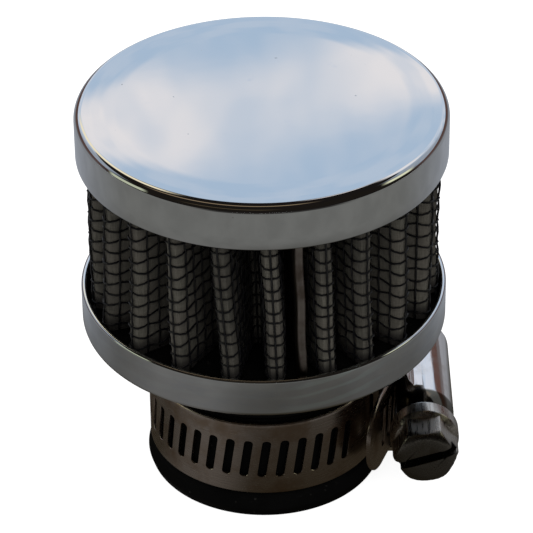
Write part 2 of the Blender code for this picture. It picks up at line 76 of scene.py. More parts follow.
# %% [markdown]
# ## Helpers for meshes
#
# Nearly every piece is a grid of points: rows run along a profile and columns run round or
# along the piece. One function numbers the squares of such a grid, and another turns the
# points and squares into a mesh object. Writing whole arrays with `foreach_set` is much
# faster than adding vertices one at a time.

# %% Grids, and meshes made from them
MERGE, WIDE_MERGE = 1e-7, 1e-6
SHARP = math.radians(40)


def grid_faces(rows, columns, wrap_rows=False, wrap_columns=True):
    """Squares of a grid: (i, j) joins its point to the next ones along the row and column."""
    i, j = np.meshgrid(np.arange(rows if wrap_rows else rows - 1),
                       np.arange(columns if wrap_columns else columns - 1), indexing="ij")
    up, side = (i + 1) % rows, (j + 1) % columns
    corners = (i * columns + j, i * columns + side, up * columns + side, up * columns + j)
    return np.stack(corners, axis=-1).reshape(-1, 4)


def grid_uv(u, v):
    """Texture places of a grid's squares, from one value for each column and row edge."""
    u0, v0 = np.meshgrid(u[:-1], v[:-1])
    u1, v1 = np.meshgrid(u[1:], v[1:])
    corners = np.stack([u0, v0, u1, v0, u1, v1, u0, v1], axis=-1)
    return corners.reshape(-1, 2)


def mesh_piece(name, points, faces, uv=None, merge=MERGE, sharp=SHARP):
    """Mesh object from points and squares, whose normals point outwards.

    Points closer than merge become one. Edges steeper than sharp stay sharp in the shading.
    """
    points = np.ascontiguousarray(points, dtype=np.float32).reshape(-1, 3)
    mesh = bpy.data.meshes.new(name)
    mesh.vertices.add(len(points))
    mesh.vertices.foreach_set("co", points.ravel())
    mesh.loops.add(faces.size)
    mesh.loops.foreach_set("vertex_index", np.ascontiguousarray(faces, dtype=np.int32).ravel())
    mesh.polygons.add(len(faces))
    mesh.polygons.foreach_set("loop_start", np.arange(0, faces.size, 4, dtype=np.int32))
    if uv is not None:
        layer = mesh.uv_layers.new(name="UVMap")
        layer.data.foreach_set("uv", np.ascontiguousarray(uv, dtype=np.float32).ravel())
    mesh.update(calc_edges=True)
    work = bmesh.new()
    work.from_mesh(mesh)
    if merge:
        bmesh.ops.remove_doubles(work, verts=work.verts, dist=merge)
    bmesh.ops.recalc_face_normals(work, faces=work.faces)
    work.to_mesh(mesh)
    work.free()
    mesh.polygons.foreach_set("use_smooth", np.ones(len(mesh.polygons), dtype=bool))
    mesh.set_sharp_from_angle(angle=sharp)
    obj = bpy.data.objects.new(name, mesh)
    bpy.context.scene.collection.objects.link(obj)
    print(f"{name}: {sum(len(p.vertices) - 2 for p in mesh.polygons)} triangles")
    return obj


# %% Small steps that many pieces share
def unit(vectors):
    """Vectors made one unit long."""
    return vectors / np.linalg.norm(vectors, axis=-1, keepdims=True)


def sampled(at, marks, points):
    """Places along a line through points, which stand at the given marks."""
    return np.stack([np.interp(at, marks, points[:, k]) for k in (0, 1)], axis=-1)


def repeated(faces, count, size):
    """Squares of count grids of one layout, whose points follow each other, size in each."""
    return (faces[None] + (np.arange(count) * size)[:, None, None]).reshape(-1, 4)


def closed(values):
    """A loop's points with the first one again at the end."""
    return np.concatenate([values, values[:1]])


def distances(points):
    """Distance walked along a line at each of its points."""
    steps = np.linalg.norm(np.diff(points, axis=0), axis=1)
    return np.concatenate([[0.0], np.cumsum(steps)])


def rightwards(way):
    """Flat directions turned a quarter to the right."""
    return np.stack([way[:, 1], -way[:, 0]], axis=1)


def swung(flat, angle):
    """Flat places turned about the origin by an angle in radians."""
    x, y, cos, sin = flat[..., 0], flat[..., 1], np.cos(angle), np.sin(angle)
    return np.stack([x * cos - y * sin, x * sin + y * cos], axis=-1)


def circle(angle):
    """Places (cos a, sin a) on a circle of radius 1."""
    return np.stack([np.cos(angle), np.sin(angle)], axis=-1)


def lifted(flat, z):
    """Flat places at heights z."""
    return np.concatenate([flat, np.broadcast_to(z, flat.shape[:-1])[..., None]], axis=-1)


def with_ends(rows, first, last):
    """Rows with one more at each end; one place there stands for a whole row."""
    return np.concatenate([np.broadcast_to(first, rows[:1].shape), rows,
                           np.broadcast_to(last, rows[:1].shape)])


def polar(radius, azimuth):
    """Places (x, y) at an azimuth in degrees, 0 at the front and 90 at the right."""
    angle = np.radians(azimuth)
    return np.stack([radius * np.sin(angle), -radius * np.cos(angle)], axis=-1)


def joined(parts):
    """Points and squares of several grids in one pair of arrays, from (points, faces) pairs."""
    points, faces, count = [], [], 0
    for part_points, part_faces in parts:
        points.append(part_points.reshape(-1, 3))
        faces.append(part_faces + count)
        count += len(points[-1])
    return np.concatenate(points), np.concatenate(faces)


# %% Outlines with rounded corners, and turned shapes
def rounded(corners, radii, steps=6, closed_loop=True):
    """Outline whose corners become arcs that touch both sides, in steps short pieces.

    With unit vectors u and v from a corner along its sides and the angle w between them, the
    arc's centre is r / sin(w / 2) from the corner along u + v.
    """
    corners = np.asarray(corners, dtype=float)
    radii = np.broadcast_to(np.asarray(radii, dtype=float), (len(corners),))[:, None]
    before = np.roll(corners, 1, axis=0) - corners
    after = np.roll(corners, -1, axis=0) - corners
    u, v = unit(before), unit(after)
    half = np.arccos(np.clip((u * v).sum(1, keepdims=True), -1, 1)) / 2
    centre = corners + unit(u + v) * radii / np.sin(half)
    first = corners + u * radii / np.tan(half) - centre
    last = corners + v * radii / np.tan(half) - centre
    sweep = np.pi - 2 * half
    t = np.linspace(0, 1, steps + 1)[None, :]
    share0, share1 = np.sin((1 - t) * sweep) / np.sin(sweep), np.sin(t * sweep) / np.sin(sweep)
    arcs = centre[:, None] + share0[..., None] * first[:, None] + share1[..., None] * last[:, None]
    if closed_loop:
        return arcs.reshape(-1, corners.shape[1])
    return np.concatenate([corners[:1], arcs[1:-1].reshape(-1, corners.shape[1]), corners[-1:]])


def rounded_outline(table, steps, closed_loop=True):
    """Rounded outline from rows of a corner's two places and its radius."""
    return rounded(table[:, :2], table[:, 2], steps, closed_loop)


def turned(name, profile, steps=256, closed_loop=False):
    """Turn (r, z) points about Z: x = r sin a and y = -r cos a, for a all the way round."""
    profile = np.asarray(profile, dtype=float)
    angles = np.linspace(0, 2 * np.pi, steps, endpoint=False)
    r, z = profile[:, :1], profile[:, 1:]
    points = np.stack([r * np.sin(angles), -r * np.cos(angles), z + 0 * angles], axis=-1)
    return mesh_piece(name, points, grid_faces(len(profile), steps, wrap_rows=closed_loop))


# %% [markdown]
# ## Helpers for materials
#
# A material here is one Principled shader. Numbers that are the same all over are set on
# the shader's own sockets. What varies over the surface, such as smudges or brushed lines,
# comes from small chains of nodes, and these short functions add one link of a chain each.

# %% Nodes
def node(tree, kind, sockets=(), **settings):
    """Add a node; a socket gets a plain value, or the output that feeds it."""
    made = tree.nodes.new(kind)
    for key, value in settings.items():
        setattr(made, key, value)
    for key, value in dict(sockets).items():
        if isinstance(value, bpy.types.NodeSocket):
            tree.links.new(value, made.inputs[key])
        else:
            made.inputs[key].default_value = value
    return made


def linked(kind, sockets, **settings):
    """Outputs of a new node in the tree of the outputs that feed it."""
    tree = next(v.id_data for v in sockets.values() if isinstance(v, bpy.types.NodeSocket))
    return node(tree, kind, sockets, **settings).outputs


def new_material(name, colour, roughness, metallic=0.0):
    """Material with one Principled shader, whose plain values sit on its own sockets."""
    material = bpy.data.materials.new(name)
    material.use_nodes = True
    shader = material.node_tree.nodes["Principled BSDF"]
    shader.inputs["Base Color"].default_value = (*colour, 1.0)
    shader.inputs["Roughness"].default_value = roughness
    shader.inputs["Metallic"].default_value = metallic
    return material, material.node_tree, shader


def places_on(tree, kind="Object"):
    """The surface's own places in metres, or its texture map with kind UV."""
    return node(tree, "ShaderNodeTexCoord").outputs[kind]


def object_points(tree, scale=(1, 1, 1), turn=(0, 0, 0)):
    """The surface's own place in metres, scaled for a texture and turned if asked."""
    mapping = {"Vector": places_on(tree), "Scale": scale, "Rotation": turn}
    return linked("ShaderNodeMapping", mapping)[0]


def uv_points(tree, scale):
    """The piece's own texture map, which follows its surface."""
    return linked("ShaderNodeMapping", {"Vector": places_on(tree, "UV"), "Scale": scale})[0]


def noise(vector, scale, detail=3.0, roughness=0.5):
    """Soft random values from 0 to 1; a larger scale makes them finer."""
    settings = {"Vector": vector, "Scale": scale, "Detail": detail, "Roughness": roughness}
    return linked("ShaderNodeTexNoise", settings)["Fac"]


def calc(operation, *values):
    """One step of arithmetic on values."""
    return linked("ShaderNodeMath", dict(enumerate(values)), operation=operation)[0]


def times(first, second):
    """Product of two values."""
    return calc("MULTIPLY", first, second)


def plus(first, second):
    """Sum of two values."""
    return calc("ADD", first, second)


def direct(operation, first, second=None, scale=None):
    """One step of arithmetic on directions, places or colours; some steps give one number."""
    sockets = {key: value for key, value in ((0, first), (1, second), (3, scale))
               if value is not None}
    number = operation in ("LENGTH", "DISTANCE", "DOT_PRODUCT")
    made = linked("ShaderNodeVectorMath", sockets, operation=operation)
    return made["Value" if number else "Vector"]


def apart(places):
    """The x, y and z of places."""
    return linked("ShaderNodeSeparateXYZ", {0: places})


def flat_place(x, y):
    """A place made from two values."""
    return linked("ShaderNodeCombineXYZ", {"X": x, "Y": y})[0]


def span(value, low, high, to_low=0.0, to_high=1.0, smooth=True):
    """Map a value from one range to another, with soft ends."""
    kind = "SMOOTHSTEP" if smooth else "LINEAR"
    limits = {"Value": value, 1: low, 2: high, 3: to_low, 4: to_high}
    return linked("ShaderNodeMapRange", limits, interpolation_type=kind)[0]


def between(value, low, high, soft):
    """1 where a value lies between two limits, with soft edges."""
    return times(span(value, low - soft, low + soft),
                 span(value, high - soft, high + soft, 1.0, 0.0))


def blend(share, first, second):
    """Mix two colours by a share, 0 for the first and 1 for the second."""
    first, second = (colour if isinstance(colour, bpy.types.NodeSocket) else (*colour, 1.0)
                     for colour in (first, second))
    return linked("ShaderNodeMix", {0: share, 6: first, 7: second}, data_type="RGBA")[2]


def feed(shader, **outputs):
    """Connect outputs to the shader's sockets by name."""
    for key, output in outputs.items():
        shader.id_data.links.new(output, shader.inputs[key.replace("_", " ").title()])


def bump(shader, height, distance, strength=1.0):
    """Feed a height in metres to the shader's normal, on top of any bump before it."""
    made = linked("ShaderNodeBump", {"Height": height, "Distance": distance, "Strength": strength})
    for link in shader.inputs["Normal"].links:
        feed(made["Normal"].node, normal=link.from_socket)
    feed(shader, normal=made["Normal"])


def dress(obj, material):
    """Give an object one material."""
    obj.data.materials.clear()
    obj.data.materials.append(material)


print("helpers ready")

# %% [markdown]
# ## Floor, light and what the chrome reflects
#
# The floor and the world are white to the camera and to reflections, and they light the
# object evenly. Chrome has hardly a colour of its own: it looks like chrome because of what
# stands around it. So two reflector cards surround the filter, as a photographer of
# metalware would set them up: a painted dome and a grey mat on the floor. Only reflections
# see them. They give no light and throw no shadow, so nothing else in the picture changes.

# %% White world, floor and a soft lamp
WORLD_LIGHT = 0.72
FLOOR_SHARE = 0.5
FLOOR_GLOW = 0.85
FLOOR_HALF, FLOOR_HEIGHT = 3.0, -0.00002
LAMP_PLACE, LAMP_HEADING = (0.15, -0.85, 0.85), (-0.15, 0.85, -0.82)
LAMP_SIZE, LAMP_POWER = 0.9, 4.6


def seen(tree):
    """1 for rays that come from the camera, a mirror or glass, and 0 for rays that light."""
    paths = node(tree, "ShaderNodeLightPath").outputs
    sharp = calc("MAXIMUM", paths["Is Camera Ray"], paths["Is Glossy Ray"])
    return calc("MAXIMUM", sharp, paths["Is Transmission Ray"])


def flat_square(name, half, height):
    """Flat square at a height."""
    corners = np.array([(-half, -half, height), (half, -half, height),
                        (half, half, height), (-half, half, height)])
    return mesh_piece(name, corners, np.array([[0, 1, 2, 3]]), merge=None)


def bare_tree(obj, name):
    """Tree of a new material without a shader, given to an object."""
    material = bpy.data.materials.new(name)
    material.use_nodes = True
    material.node_tree.nodes.remove(material.node_tree.nodes["Principled BSDF"])
    dress(obj, material)
    return material.node_tree


def finish_with(tree, shader):
    """Let a shader be what the material shows."""
    tree.links.new(shader.outputs[0], tree.nodes["Material Output"].inputs["Surface"])


world = bpy.data.worlds.new("studio")
bpy.context.scene.world = world
world.use_nodes = True
sky = world.node_tree.nodes["Background"]
sky.inputs["Color"].default_value = (1.0, 1.0, 1.0, 1.0)
feed(sky, strength=span(seen(world.node_tree), 0.0, 1.0, WORLD_LIGHT, 1.0, smooth=False))

floor = flat_square("floor", FLOOR_HALF, FLOOR_HEIGHT)
tree = bare_tree(floor, "floor_white")
lit = node(tree, "ShaderNodeBsdfDiffuse", {"Color": (FLOOR_SHARE,) * 3 + (1.0,)}).outputs[0]
glow = node(tree, "ShaderNodeEmission", {"Strength": times(seen(tree), FLOOR_GLOW)}).outputs[0]
finish_with(tree, node(tree, "ShaderNodeAddShader", {0: lit, 1: glow}))

lamp = bpy.data.objects.new("softbox", bpy.data.lights.new("softbox", "AREA"))
bpy.context.scene.collection.objects.link(lamp)
lamp.data.shape = "SQUARE"
lamp.data.size = LAMP_SIZE
lamp.data.energy = LAMP_POWER
lamp.location = LAMP_PLACE
lamp.rotation_euler = Vector(LAMP_HEADING).to_track_quat("-Z", "Y").to_euler()
lamp.visible_glossy = False
print("floor, world and lamp ready")

# %% [markdown]
# The dome is painted by direction: `around` is the angle round from the back and `up` is the
# height above the horizon, both in radians. A band of pale blue sky stands at the back, with
# a brown horizon under it and a dark room over it and in front. In the sky one long thin
# cloud lies just where the flat top of the cap mirrors it.

# %% Reflector cards, seen by reflections alone
DOME_RADIUS = 0.9


def reflector(obj, name):
    """Make a stage card that only glossy rays see, and return its material's tree."""
    for rays in ("camera", "diffuse", "shadow", "transmission", "volume_scatter"):
        setattr(obj, "visible_" + rays, False)
    tree = bare_tree(obj, name)
    obj.data.materials[0].cycles.emission_sampling = "NONE"
    return tree


def shine(tree, colour):
    """Let a card glow in a colour."""
    finish_with(tree, node(tree, "ShaderNodeEmission", {"Color": colour}))


heights = np.linspace(-0.5 * np.pi, 0.5 * np.pi, 49)
dome_profile = DOME_RADIUS * circle(heights)
dome = turned("dome", dome_profile, steps=96)
tree = reflector(dome, "dome_paint")
heading = direct("NORMALIZE", places_on(tree))
x, y, z = apart(heading)
around = calc("ARCTAN2", x, y)
side = calc("ABSOLUTE", around)
up = calc("ARCSINE", z)
view = flat_place(around, up)

# %% Sky and clouds
SKY_BLUE = (0.52, 0.67, 0.86)
CLOUD = (1.04, 1.00, 1.01)

risen = plus(up, times(calc("MAXIMUM", around, 0.0), 0.4))
back_edge = span(risen, 0.566, 0.590)
front_edge = span(plus(up, times(around, 0.25)), 0.598, 0.625, 1.0, 0.0)
cloud = times(back_edge, front_edge)
cloud = times(cloud, span(side, 0.01, 0.075, 0.58, 0.92))
cloud = times(cloud, span(noise(view, 26.0, detail=1.0), 0.45, 0.68, 1.0, 0.70))
haze = span(noise(view, 30.0, detail=2.0), 0.35, 0.65, 0.0, 0.16)
cloud = plus(cloud, haze)
puffs = span(noise(view, 16.0, detail=2.0, roughness=0.45), 0.30, 0.75, 0.0, 0.75)
near = span(side, 0.12, 0.25)
clouds = plus(times(near, puffs), times(calc("SUBTRACT", 1.0, near), cloud))
sky_paint = direct("SCALE", blend(clouds, SKY_BLUE, CLOUD), scale=span(side, 0.45, 0.9, 1.0, 0.55))

# %% The room round the sky, layer over layer
ROOM = (0.012, 0.010, 0.009)
HORIZON = (0.115, 0.065, 0.055)
FAR_WALL = (0.155, 0.140, 0.145)
HEDGE = (0.015, 0.012, 0.008)

leaves = span(noise(view, 25.0, detail=4.0), 0.42, 0.62)
lowered = calc("SUBTRACT", up, span(around, 0.2, 0.55, 0.0, 0.2))
raised = plus(up, span(side, 0.20, 0.36, 0.5, 0.0))
sky_band = times(span(raised, 0.38, 0.42), span(lowered, 0.70, 0.74, 1.0, 0.0))
front = times(span(side, 1.5, 2.0), between(up, 0.25, 1.03, 0.06))
behind = span(side, 1.2, 1.6, 1.0, 0.0)
paint = ROOM
for share, colour in ((times(behind, between(up, 0.14, 0.40, 0.02)), HORIZON),
                      (times(behind, between(up, -0.2, 0.14, 0.02)), FAR_WALL),
                      (times(front, leaves), HEDGE),
                      (times(behind, sky_band), sky_paint)):
    paint = blend(share, paint, colour)

# %% [markdown]
# The thin gold lines and the windows on rounded edges are placed in another way, by the
# normal that mirrors them to a viewer in front. It lies half-way between the direction on
# the dome and the way back to the viewer. `tilt` is its angle from upright, and `bearing` is
# its angle round from the front.

# %% Lines and windows along rounded edges
LINE_OF_SIGHT = (0.0, 0.832, -0.554)
EDGE_LIGHTS = [
    ((0.15, 0.34, 0.03), (-1.45, -0.55, 0.10), (1.15, 1.02, 0.74)),
    ((0.49, 0.55, 0.03), (-0.62, 0.24, 0.10), (0.42, 0.31, 0.19)),
    ((0.91, 0.94, 0.02), (-0.40, 0.05, 0.08), (0.16, 0.12, 0.07)),
    ((0.88, 1.12, 0.03), (-0.92, -0.66, 0.03), (0.62, 0.655, 0.48)),
    ((0.70, 0.90, 0.04), (0.70, 0.90, 0.04), (0.95, 0.95, 0.66)),
    ((0.105, 0.16, 0.012), (0.30, 0.72, 0.10), (1.05, 0.98, 0.96)),
    ((0.12, 0.34, 0.03), (0.74, 1.05, 0.08), (1.02, 0.99, 1.00))]


def azimuth(x, y):
    """Angle round from the front."""
    return calc("ARCTAN2", x, times(y, -1.0))


x, y, z = apart(direct("NORMALIZE", direct("SUBTRACT", heading, LINE_OF_SIGHT)))
tilt = calc("ARCCOSINE", z)
bearing = azimuth(x, y)
for tilts, bearings, colour in EDGE_LIGHTS:
    paint = blend(times(between(tilt, *tilts), between(bearing, *bearings)), paint, colour)
shine(tree, paint)

# %% The grey mat, with the filter's shadow painted dark near it and paler behind it
MAT_SHADE = (0.038, 0.032, 0.022)
MAT_DARK = (0.105, 0.103, 0.098)
MAT_FRONT = (0.185, 0.185, 0.175)
MAT_LEFT = (0.24, 0.235, 0.23)
MAT_BACK = (0.33, 0.35, 0.39)
MAT_HALF, MAT_HEIGHT = 0.85, -0.00001

mat = flat_square("mat", MAT_HALF, MAT_HEIGHT)
tree = reflector(mat, "mat_paint")
places = places_on(tree)
x, y, z = apart(places)
distance = direct("LENGTH", places)
heading = azimuth(x, y)
left = times(between(heading, -1.25, -0.35, 0.3), span(distance, 0.075, 0.095, 0.38, 0.0))
right = times(between(heading, -0.15, 0.75, 0.25), span(distance, 0.075, 0.095, 0.35, 0.0))
beyond = times(between(heading, -0.6, 0.8, 0.2), span(distance, 0.14, 0.22, 0.0, 0.85))
back = times(span(calc("ABSOLUTE", heading), 1.3, 2.7), span(distance, 0.034, 0.060))
# Painted shadow: the mat is dark near the filter and on its right, where the filter's shadow lies
# on the floor.
paint = MAT_SHADE
for share, colour in ((span(distance, 0.022, 0.050), MAT_DARK),
                      (span(distance, 0.055, 0.105), MAT_FRONT),
                      (left, MAT_LEFT), (right, MAT_SHADE), (beyond, ROOM), (back, MAT_BACK)):
    paint = blend(share, paint, colour)
mottle = span(noise(object_points(tree), 45.0), 0.3, 0.7, 0.92, 1.06)
shine(tree, direct("SCALE", paint, scale=mottle))
print("reflectors ready")

# %% [markdown]
# ## Chrome cap
#
# The cap is a cup pressed from thin steel and plated. Pressing leaves a flat top that dips
# a little towards its rounded edge, which is why the reflected sky runs into rings there.
# A turned profile gives that dip, the small edge radius and the hem at the foot in one
# smooth surface. A cylinder with a bevel would have no dip, and the rings would be missing.

# %% Cap
BODY_RADIUS = 25.5 * MM
CAP_BOTTOM, CAP_TOP = 50.65 * MM, 57.4 * MM
CAP_FILLET = 1.1 * MM
SHEET = 0.7 * MM
DISH_START = 19.5 * MM
DISH_DEPTH = 0.07 * MM
RIPPLE = 0.0010 * MM
CEILING = CAP_TOP - SHEET - 0.1 * MM


def cap_profile():
    """Outline (r, z) of the cap from the middle of its top to the middle of its ceiling.

    The top falls by DISH_DEPTH times the square of the way from DISH_START to the edge, with
    a faint ripple on that fall.
    """
    edge = BODY_RADIUS - CAP_FILLET
    r = np.concatenate([np.linspace(0, DISH_START, 20), np.linspace(DISH_START, edge, 41)[1:]])
    way = np.clip((r - DISH_START) / (edge - DISH_START), 0, 1)
    z = CAP_TOP - DISH_DEPTH * way ** 2 + RIPPLE * way * np.sin(way * 6 * np.pi)
    lean = math.atan(2 * DISH_DEPTH / (edge - DISH_START))
    t = np.linspace(lean, np.pi / 2, 15)
    bend = np.stack([edge + CAP_FILLET * (np.sin(t) - math.sin(lean)) / (1 - math.sin(lean)),
                     z[-1] + CAP_FILLET * (np.cos(t) - math.cos(lean))], axis=1)
    inner = BODY_RADIUS - SHEET
    foot = rounded([(BODY_RADIUS, CAP_BOTTOM + 2 * MM), (BODY_RADIUS, CAP_BOTTOM),
                    (inner, CAP_BOTTOM), (inner, CEILING), (0, CEILING)],
                   [0, 0.25 * MM, 0.25 * MM, 0.4 * MM, 0], closed_loop=False)
    return np.concatenate([np.stack([r, z], axis=1), bend[1:], foot])


cap = turned("cap_shell", cap_profile())
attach(cap, "filter")
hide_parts("top_cap")

# %% [markdown]
# ## Chrome ring
#
# The ring at the foot of the pleats is pressed in the same way. Its upper rim is rolled to a
# round bead that catches a thin line of light, and its lower edge is turned in under the
# rubber base, which is how the ring holds on.

# %% Ring
RING_BOTTOM, RING_TOP = 23.75 * MM, 29.75 * MM
RING_WALL = 0.8 * MM
RING_LIP = 2.4 * MM

ring_outline = rounded([(BODY_RADIUS - RING_WALL, RING_TOP), (BODY_RADIUS, RING_TOP),
                        (BODY_RADIUS, RING_BOTTOM), (BODY_RADIUS - RING_LIP, RING_BOTTOM),
                        (BODY_RADIUS - RING_LIP, RING_BOTTOM + RING_WALL),
                        (BODY_RADIUS - RING_WALL, RING_BOTTOM + RING_WALL)],
                       np.array([0.38, 0.38, 1.0, 0.3, 0.3, 0.3]) * MM, steps=8)
ring = turned("ring_shell", ring_outline, closed_loop=True)
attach(ring, "filter")
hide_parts("bottom_ring")

# %% [markdown]
# ## Chrome finish
#
# Bright chrome is a metal with almost no roughness. What makes it real are fingerprints,
# faint wiping marks and a few specks, which only change the roughness and the surface by
# tiny amounts. The ring has been handled more than the cap, so it gets more of them.


# %% Chrome with smudges and specks
PLATE = (0.70, 0.71, 0.72)
WIPED, SPECK, SCUFFED = (0.60, 0.64, 0.70), (0.30, 0.28, 0.26), (0.86, 1.0, 1.0)
SCUFF_CENTRE = (9.5 * MM, -23.5 * MM, 26.0 * MM)
BARE_ROUGHNESS = 0.025


def chrome(name, smudge, haze, scuffs):
    """Plated steel; smudge is the share of wiped marks, and haze is their roughness.

    Scuffs are bluish curls left by a polishing cloth, strongest within a few millimetres of
    SCUFF_CENTRE.
    """
    material, tree, shader = new_material(name, PLATE, BARE_ROUGHNESS, 1.0)
    wiped = object_points(tree, (1.0, 1.0, 3.0), (0.4, 0.2, 0.9))
    marks = span(noise(wiped, 260.0, detail=6.0, roughness=0.65), 0.62 - smudge, 0.80 - smudge)
    places = object_points(tree)
    specks = span(noise(places, 900.0, detail=1.0), 0.80, 0.84)
    dull = calc("MAXIMUM", times(marks, haze), times(specks, 0.2))
    stain = blend(times(marks, 0.35), PLATE, WIPED)
    stain = blend(times(specks, 0.6), stain, SPECK)
    level = object_points(tree, (0.45, 0.45, 1.8), (0.0, 0.25, 0.0))
    curls = linked("ShaderNodeTexWave", {"Vector": level, "Scale": 90.0, "Distortion": 7.0,
                                         "Detail": 4.0, "Detail Scale": 1.4},
                   bands_direction="Z")["Fac"]
    patch = span(direct("DISTANCE", places, SCUFF_CENTRE), 3.0 * MM, 9.0 * MM,
                 scuffs, scuffs * 0.15)
    curls = times(span(curls, 0.50, 1.0), patch)
    feed(shader, base_color=blend(curls, stain, SCUFFED),
         roughness=plus(plus(dull, BARE_ROUGHNESS), times(curls, 0.12)))
    bump(shader, noise(places, 120.0, detail=2.0), 0.000004)
    return material


dress(cap, chrome("chrome_cap", 0.0, 0.05, 0.0))
dress(ring, chrome("chrome_ring", 0.14, 0.12, 0.5))

# %% [markdown]
# ## The folded pack
#
# The filter medium is one long strip of gauze between two wire meshes, folded like an
# accordion into 22 pleats and closed into a ring. Gauze and wires share one shape, so that
# shape is written once, as a function of two numbers: `cell`, which counts mesh openings
# along the folds, 12 to a pleat, and the height. The wires run along whole numbers of cells.
# The folds are arcs joined by straight flanks, and a short moving average takes out the
# kinks where they meet.

# %% The middle surface of the folds
PLEATS = 22
CELLS_PER_PLEAT = 12
SEAM_AZIMUTH = 12.0
CREST_RADIUS, VALLEY_RADIUS = 23.82 * MM, 14.32 * MM
CREST_ROUND, VALLEY_ROUND = 0.95 * MM, 1.15 * MM
CREST_HALF_ARC, VALLEY_HALF_ARC = 65, 60
ARC_POINTS, HALF_SMOOTHING = 17, 8
PACK_BOTTOM, PACK_TOP = 28.05 * MM, 52.15 * MM
COURSE_PITCH = 1.785 * MM
FINE = 40
CREST_SHIFTS = np.array([0.4, -1.5, -0.65, 1.9, 0.9, 0.6, -0.8, 1.0, -0.4, -1.2, 0.7, 1.3, -0.6,
                         0.2, -1.1, 0.5, 1.0, -1.0, -1.5, -1.3, -0.5, -0.8])
CREST_TWISTS = np.array([2.0, 1.9, 0.2, -1.2, 0.0, 1.6, 2.4, -0.8, -2.2, 1.0, 2.6, 0.4, -1.4,
                         -2.8, -1.0, -3.2, -5.0, -5.8, -1.9, 1.2, 3.7, 2.3])
VALLEY_SHARE = 0.7


def fold_arcs(centre_radius, azimuths, radius, half_angle, outward):
    """One arc for each fold, which bulges away from the axis (1) or towards it (-1)."""
    turn = np.radians(np.linspace(-half_angle, half_angle, ARC_POINTS))[None, :, None]
    radial, tangent = polar(1.0, azimuths)[:, None], polar(1.0, azimuths + 90)[:, None]
    return centre_radius * radial + radius * (outward * np.cos(turn) * radial
                                              + np.sin(turn) * tangent)


valleys = SEAM_AZIMUTH + 360 / PLEATS * np.arange(PLEATS)
crests = valleys + 180 / PLEATS + CREST_SHIFTS
valley_arcs = fold_arcs(VALLEY_RADIUS + VALLEY_ROUND * 0.5, valleys, VALLEY_ROUND,
                        VALLEY_HALF_ARC, -1)
crest_arcs = fold_arcs(CREST_RADIUS - CREST_ROUND, crests, CREST_ROUND, CREST_HALF_ARC, 1)
corners = closed(np.concatenate([valley_arcs, crest_arcs], axis=1).reshape(-1, 2))
walked = distances(corners)
middles = walked[ARC_POINTS // 2:-1:ARC_POINTS]
total = walked[-1]
print("sheet length along the folds", round(total / MM), "mm")

cells = PLEATS * CELLS_PER_PLEAT
anchors = np.append(middles, total + middles[0])
cell_of_anchor = np.arange(2 * PLEATS + 1) * CELLS_PER_PLEAT / 2
fine_cells = np.arange(cells * FINE) / FINE
loop = sampled(np.interp(fine_cells, cell_of_anchor, anchors) % total, walked, corners)
weights = np.hanning(2 * HALF_SMOOTHING + 1)
padded = np.concatenate([loop[-HALF_SMOOTHING:], loop, loop[:HALF_SMOOTHING]])
loop = np.stack([np.convolve(padded[:, k], weights / weights.sum(), mode="valid")
                 for k in (0, 1)], axis=1)
outward = rightwards(unit(np.roll(loop, -1, axis=0) - np.roll(loop, 1, axis=0)))

# %% [markdown]
# No folded pack is quite regular. Each crest stands a degree or so from its even place, and
# leans by a few degrees between its foot and its head; the valleys, which are held by the
# core, lean less. The sheet also wanders by a tenth of a millimetre. All of that is a smooth
# function of the cell and the height, so the wires and the gauze move together.

# %% Lean and wander of the pleats
VALLEY_TWISTS = VALLEY_SHARE * (np.roll(CREST_TWISTS, 1) + CREST_TWISTS) / 2
TWISTS = np.stack([VALLEY_TWISTS, CREST_TWISTS], axis=1).ravel()
WANDER = 0.10 * MM


def sheet(cell, height, offset):
    """Places on the pack: the middle surface at a cell, moved out by offset, at a height.

    A point turns about the axis by twist * (0.5 - share), where share runs from 0 at the
    foot of the pack to 1 at its head, and twist goes evenly from valley to crest and back.
    """
    cell, height, offset = np.broadcast_arrays(cell, height, offset)
    at, index = (cell % cells) * FINE, np.arange(cells * FINE + 1)
    share = (height - PACK_BOTTOM) / (PACK_TOP - PACK_BOTTOM)
    wander = WANDER * np.sin(2.1 * cell + 1.3) * np.sin(2.6 * np.pi * share + 0.37 * cell)
    flat = (sampled(at, index, closed(loop))
            + sampled(at, index, closed(outward)) * (offset + wander)[..., None])
    fold = (cell % cells) / CELLS_PER_PLEAT * 2
    twist = np.interp(fold, np.arange(2 * PLEATS + 1), closed(TWISTS))
    return lifted(swung(flat, np.radians(twist * (0.5 - share))), height)


# %% [markdown]
# ## Gauze
#
# The gauze is squeezed between the wires, so it stands out a little in every opening of the
# mesh. That is a product of two sine squares, which is zero on the wires and one in the
# middle of an opening. The two sides of the sheet and its two cut edges are one closed grid:
# up the outside and down the inside.

# %% Gauze
GAUZE = 0.4 * MM
PUFF = 0.15 * MM
PER_CELL = 3

courses = (PACK_TOP - PACK_BOTTOM) / COURSE_PITCH
rows = int(round(courses * PER_CELL)) + 1
height = np.linspace(PACK_BOTTOM, PACK_TOP, rows)
course = np.linspace(0, courses, rows)
cell = np.arange(cells * PER_CELL) / PER_CELL
puff = PUFF * np.sin(np.pi * course[:, None]) ** 2 * np.sin(np.pi * cell[None, :]) ** 2
outside, inside = (sheet(cell[None, :], height[:, None], side * (GAUZE / 2 + puff))
                   for side in (1, -1))
faces = grid_faces(2 * rows, cells * PER_CELL, wrap_rows=True)
u = np.arange(cells * PER_CELL + 1) / PER_CELL
v = np.concatenate([course, course[::-1], course[:1]])
gauze = mesh_piece("gauze_sheet", np.concatenate([outside, inside[::-1]]), faces,
                   uv=grid_uv(u, v), merge=None)
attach(gauze, "filter")
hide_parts("pleated_gauze")
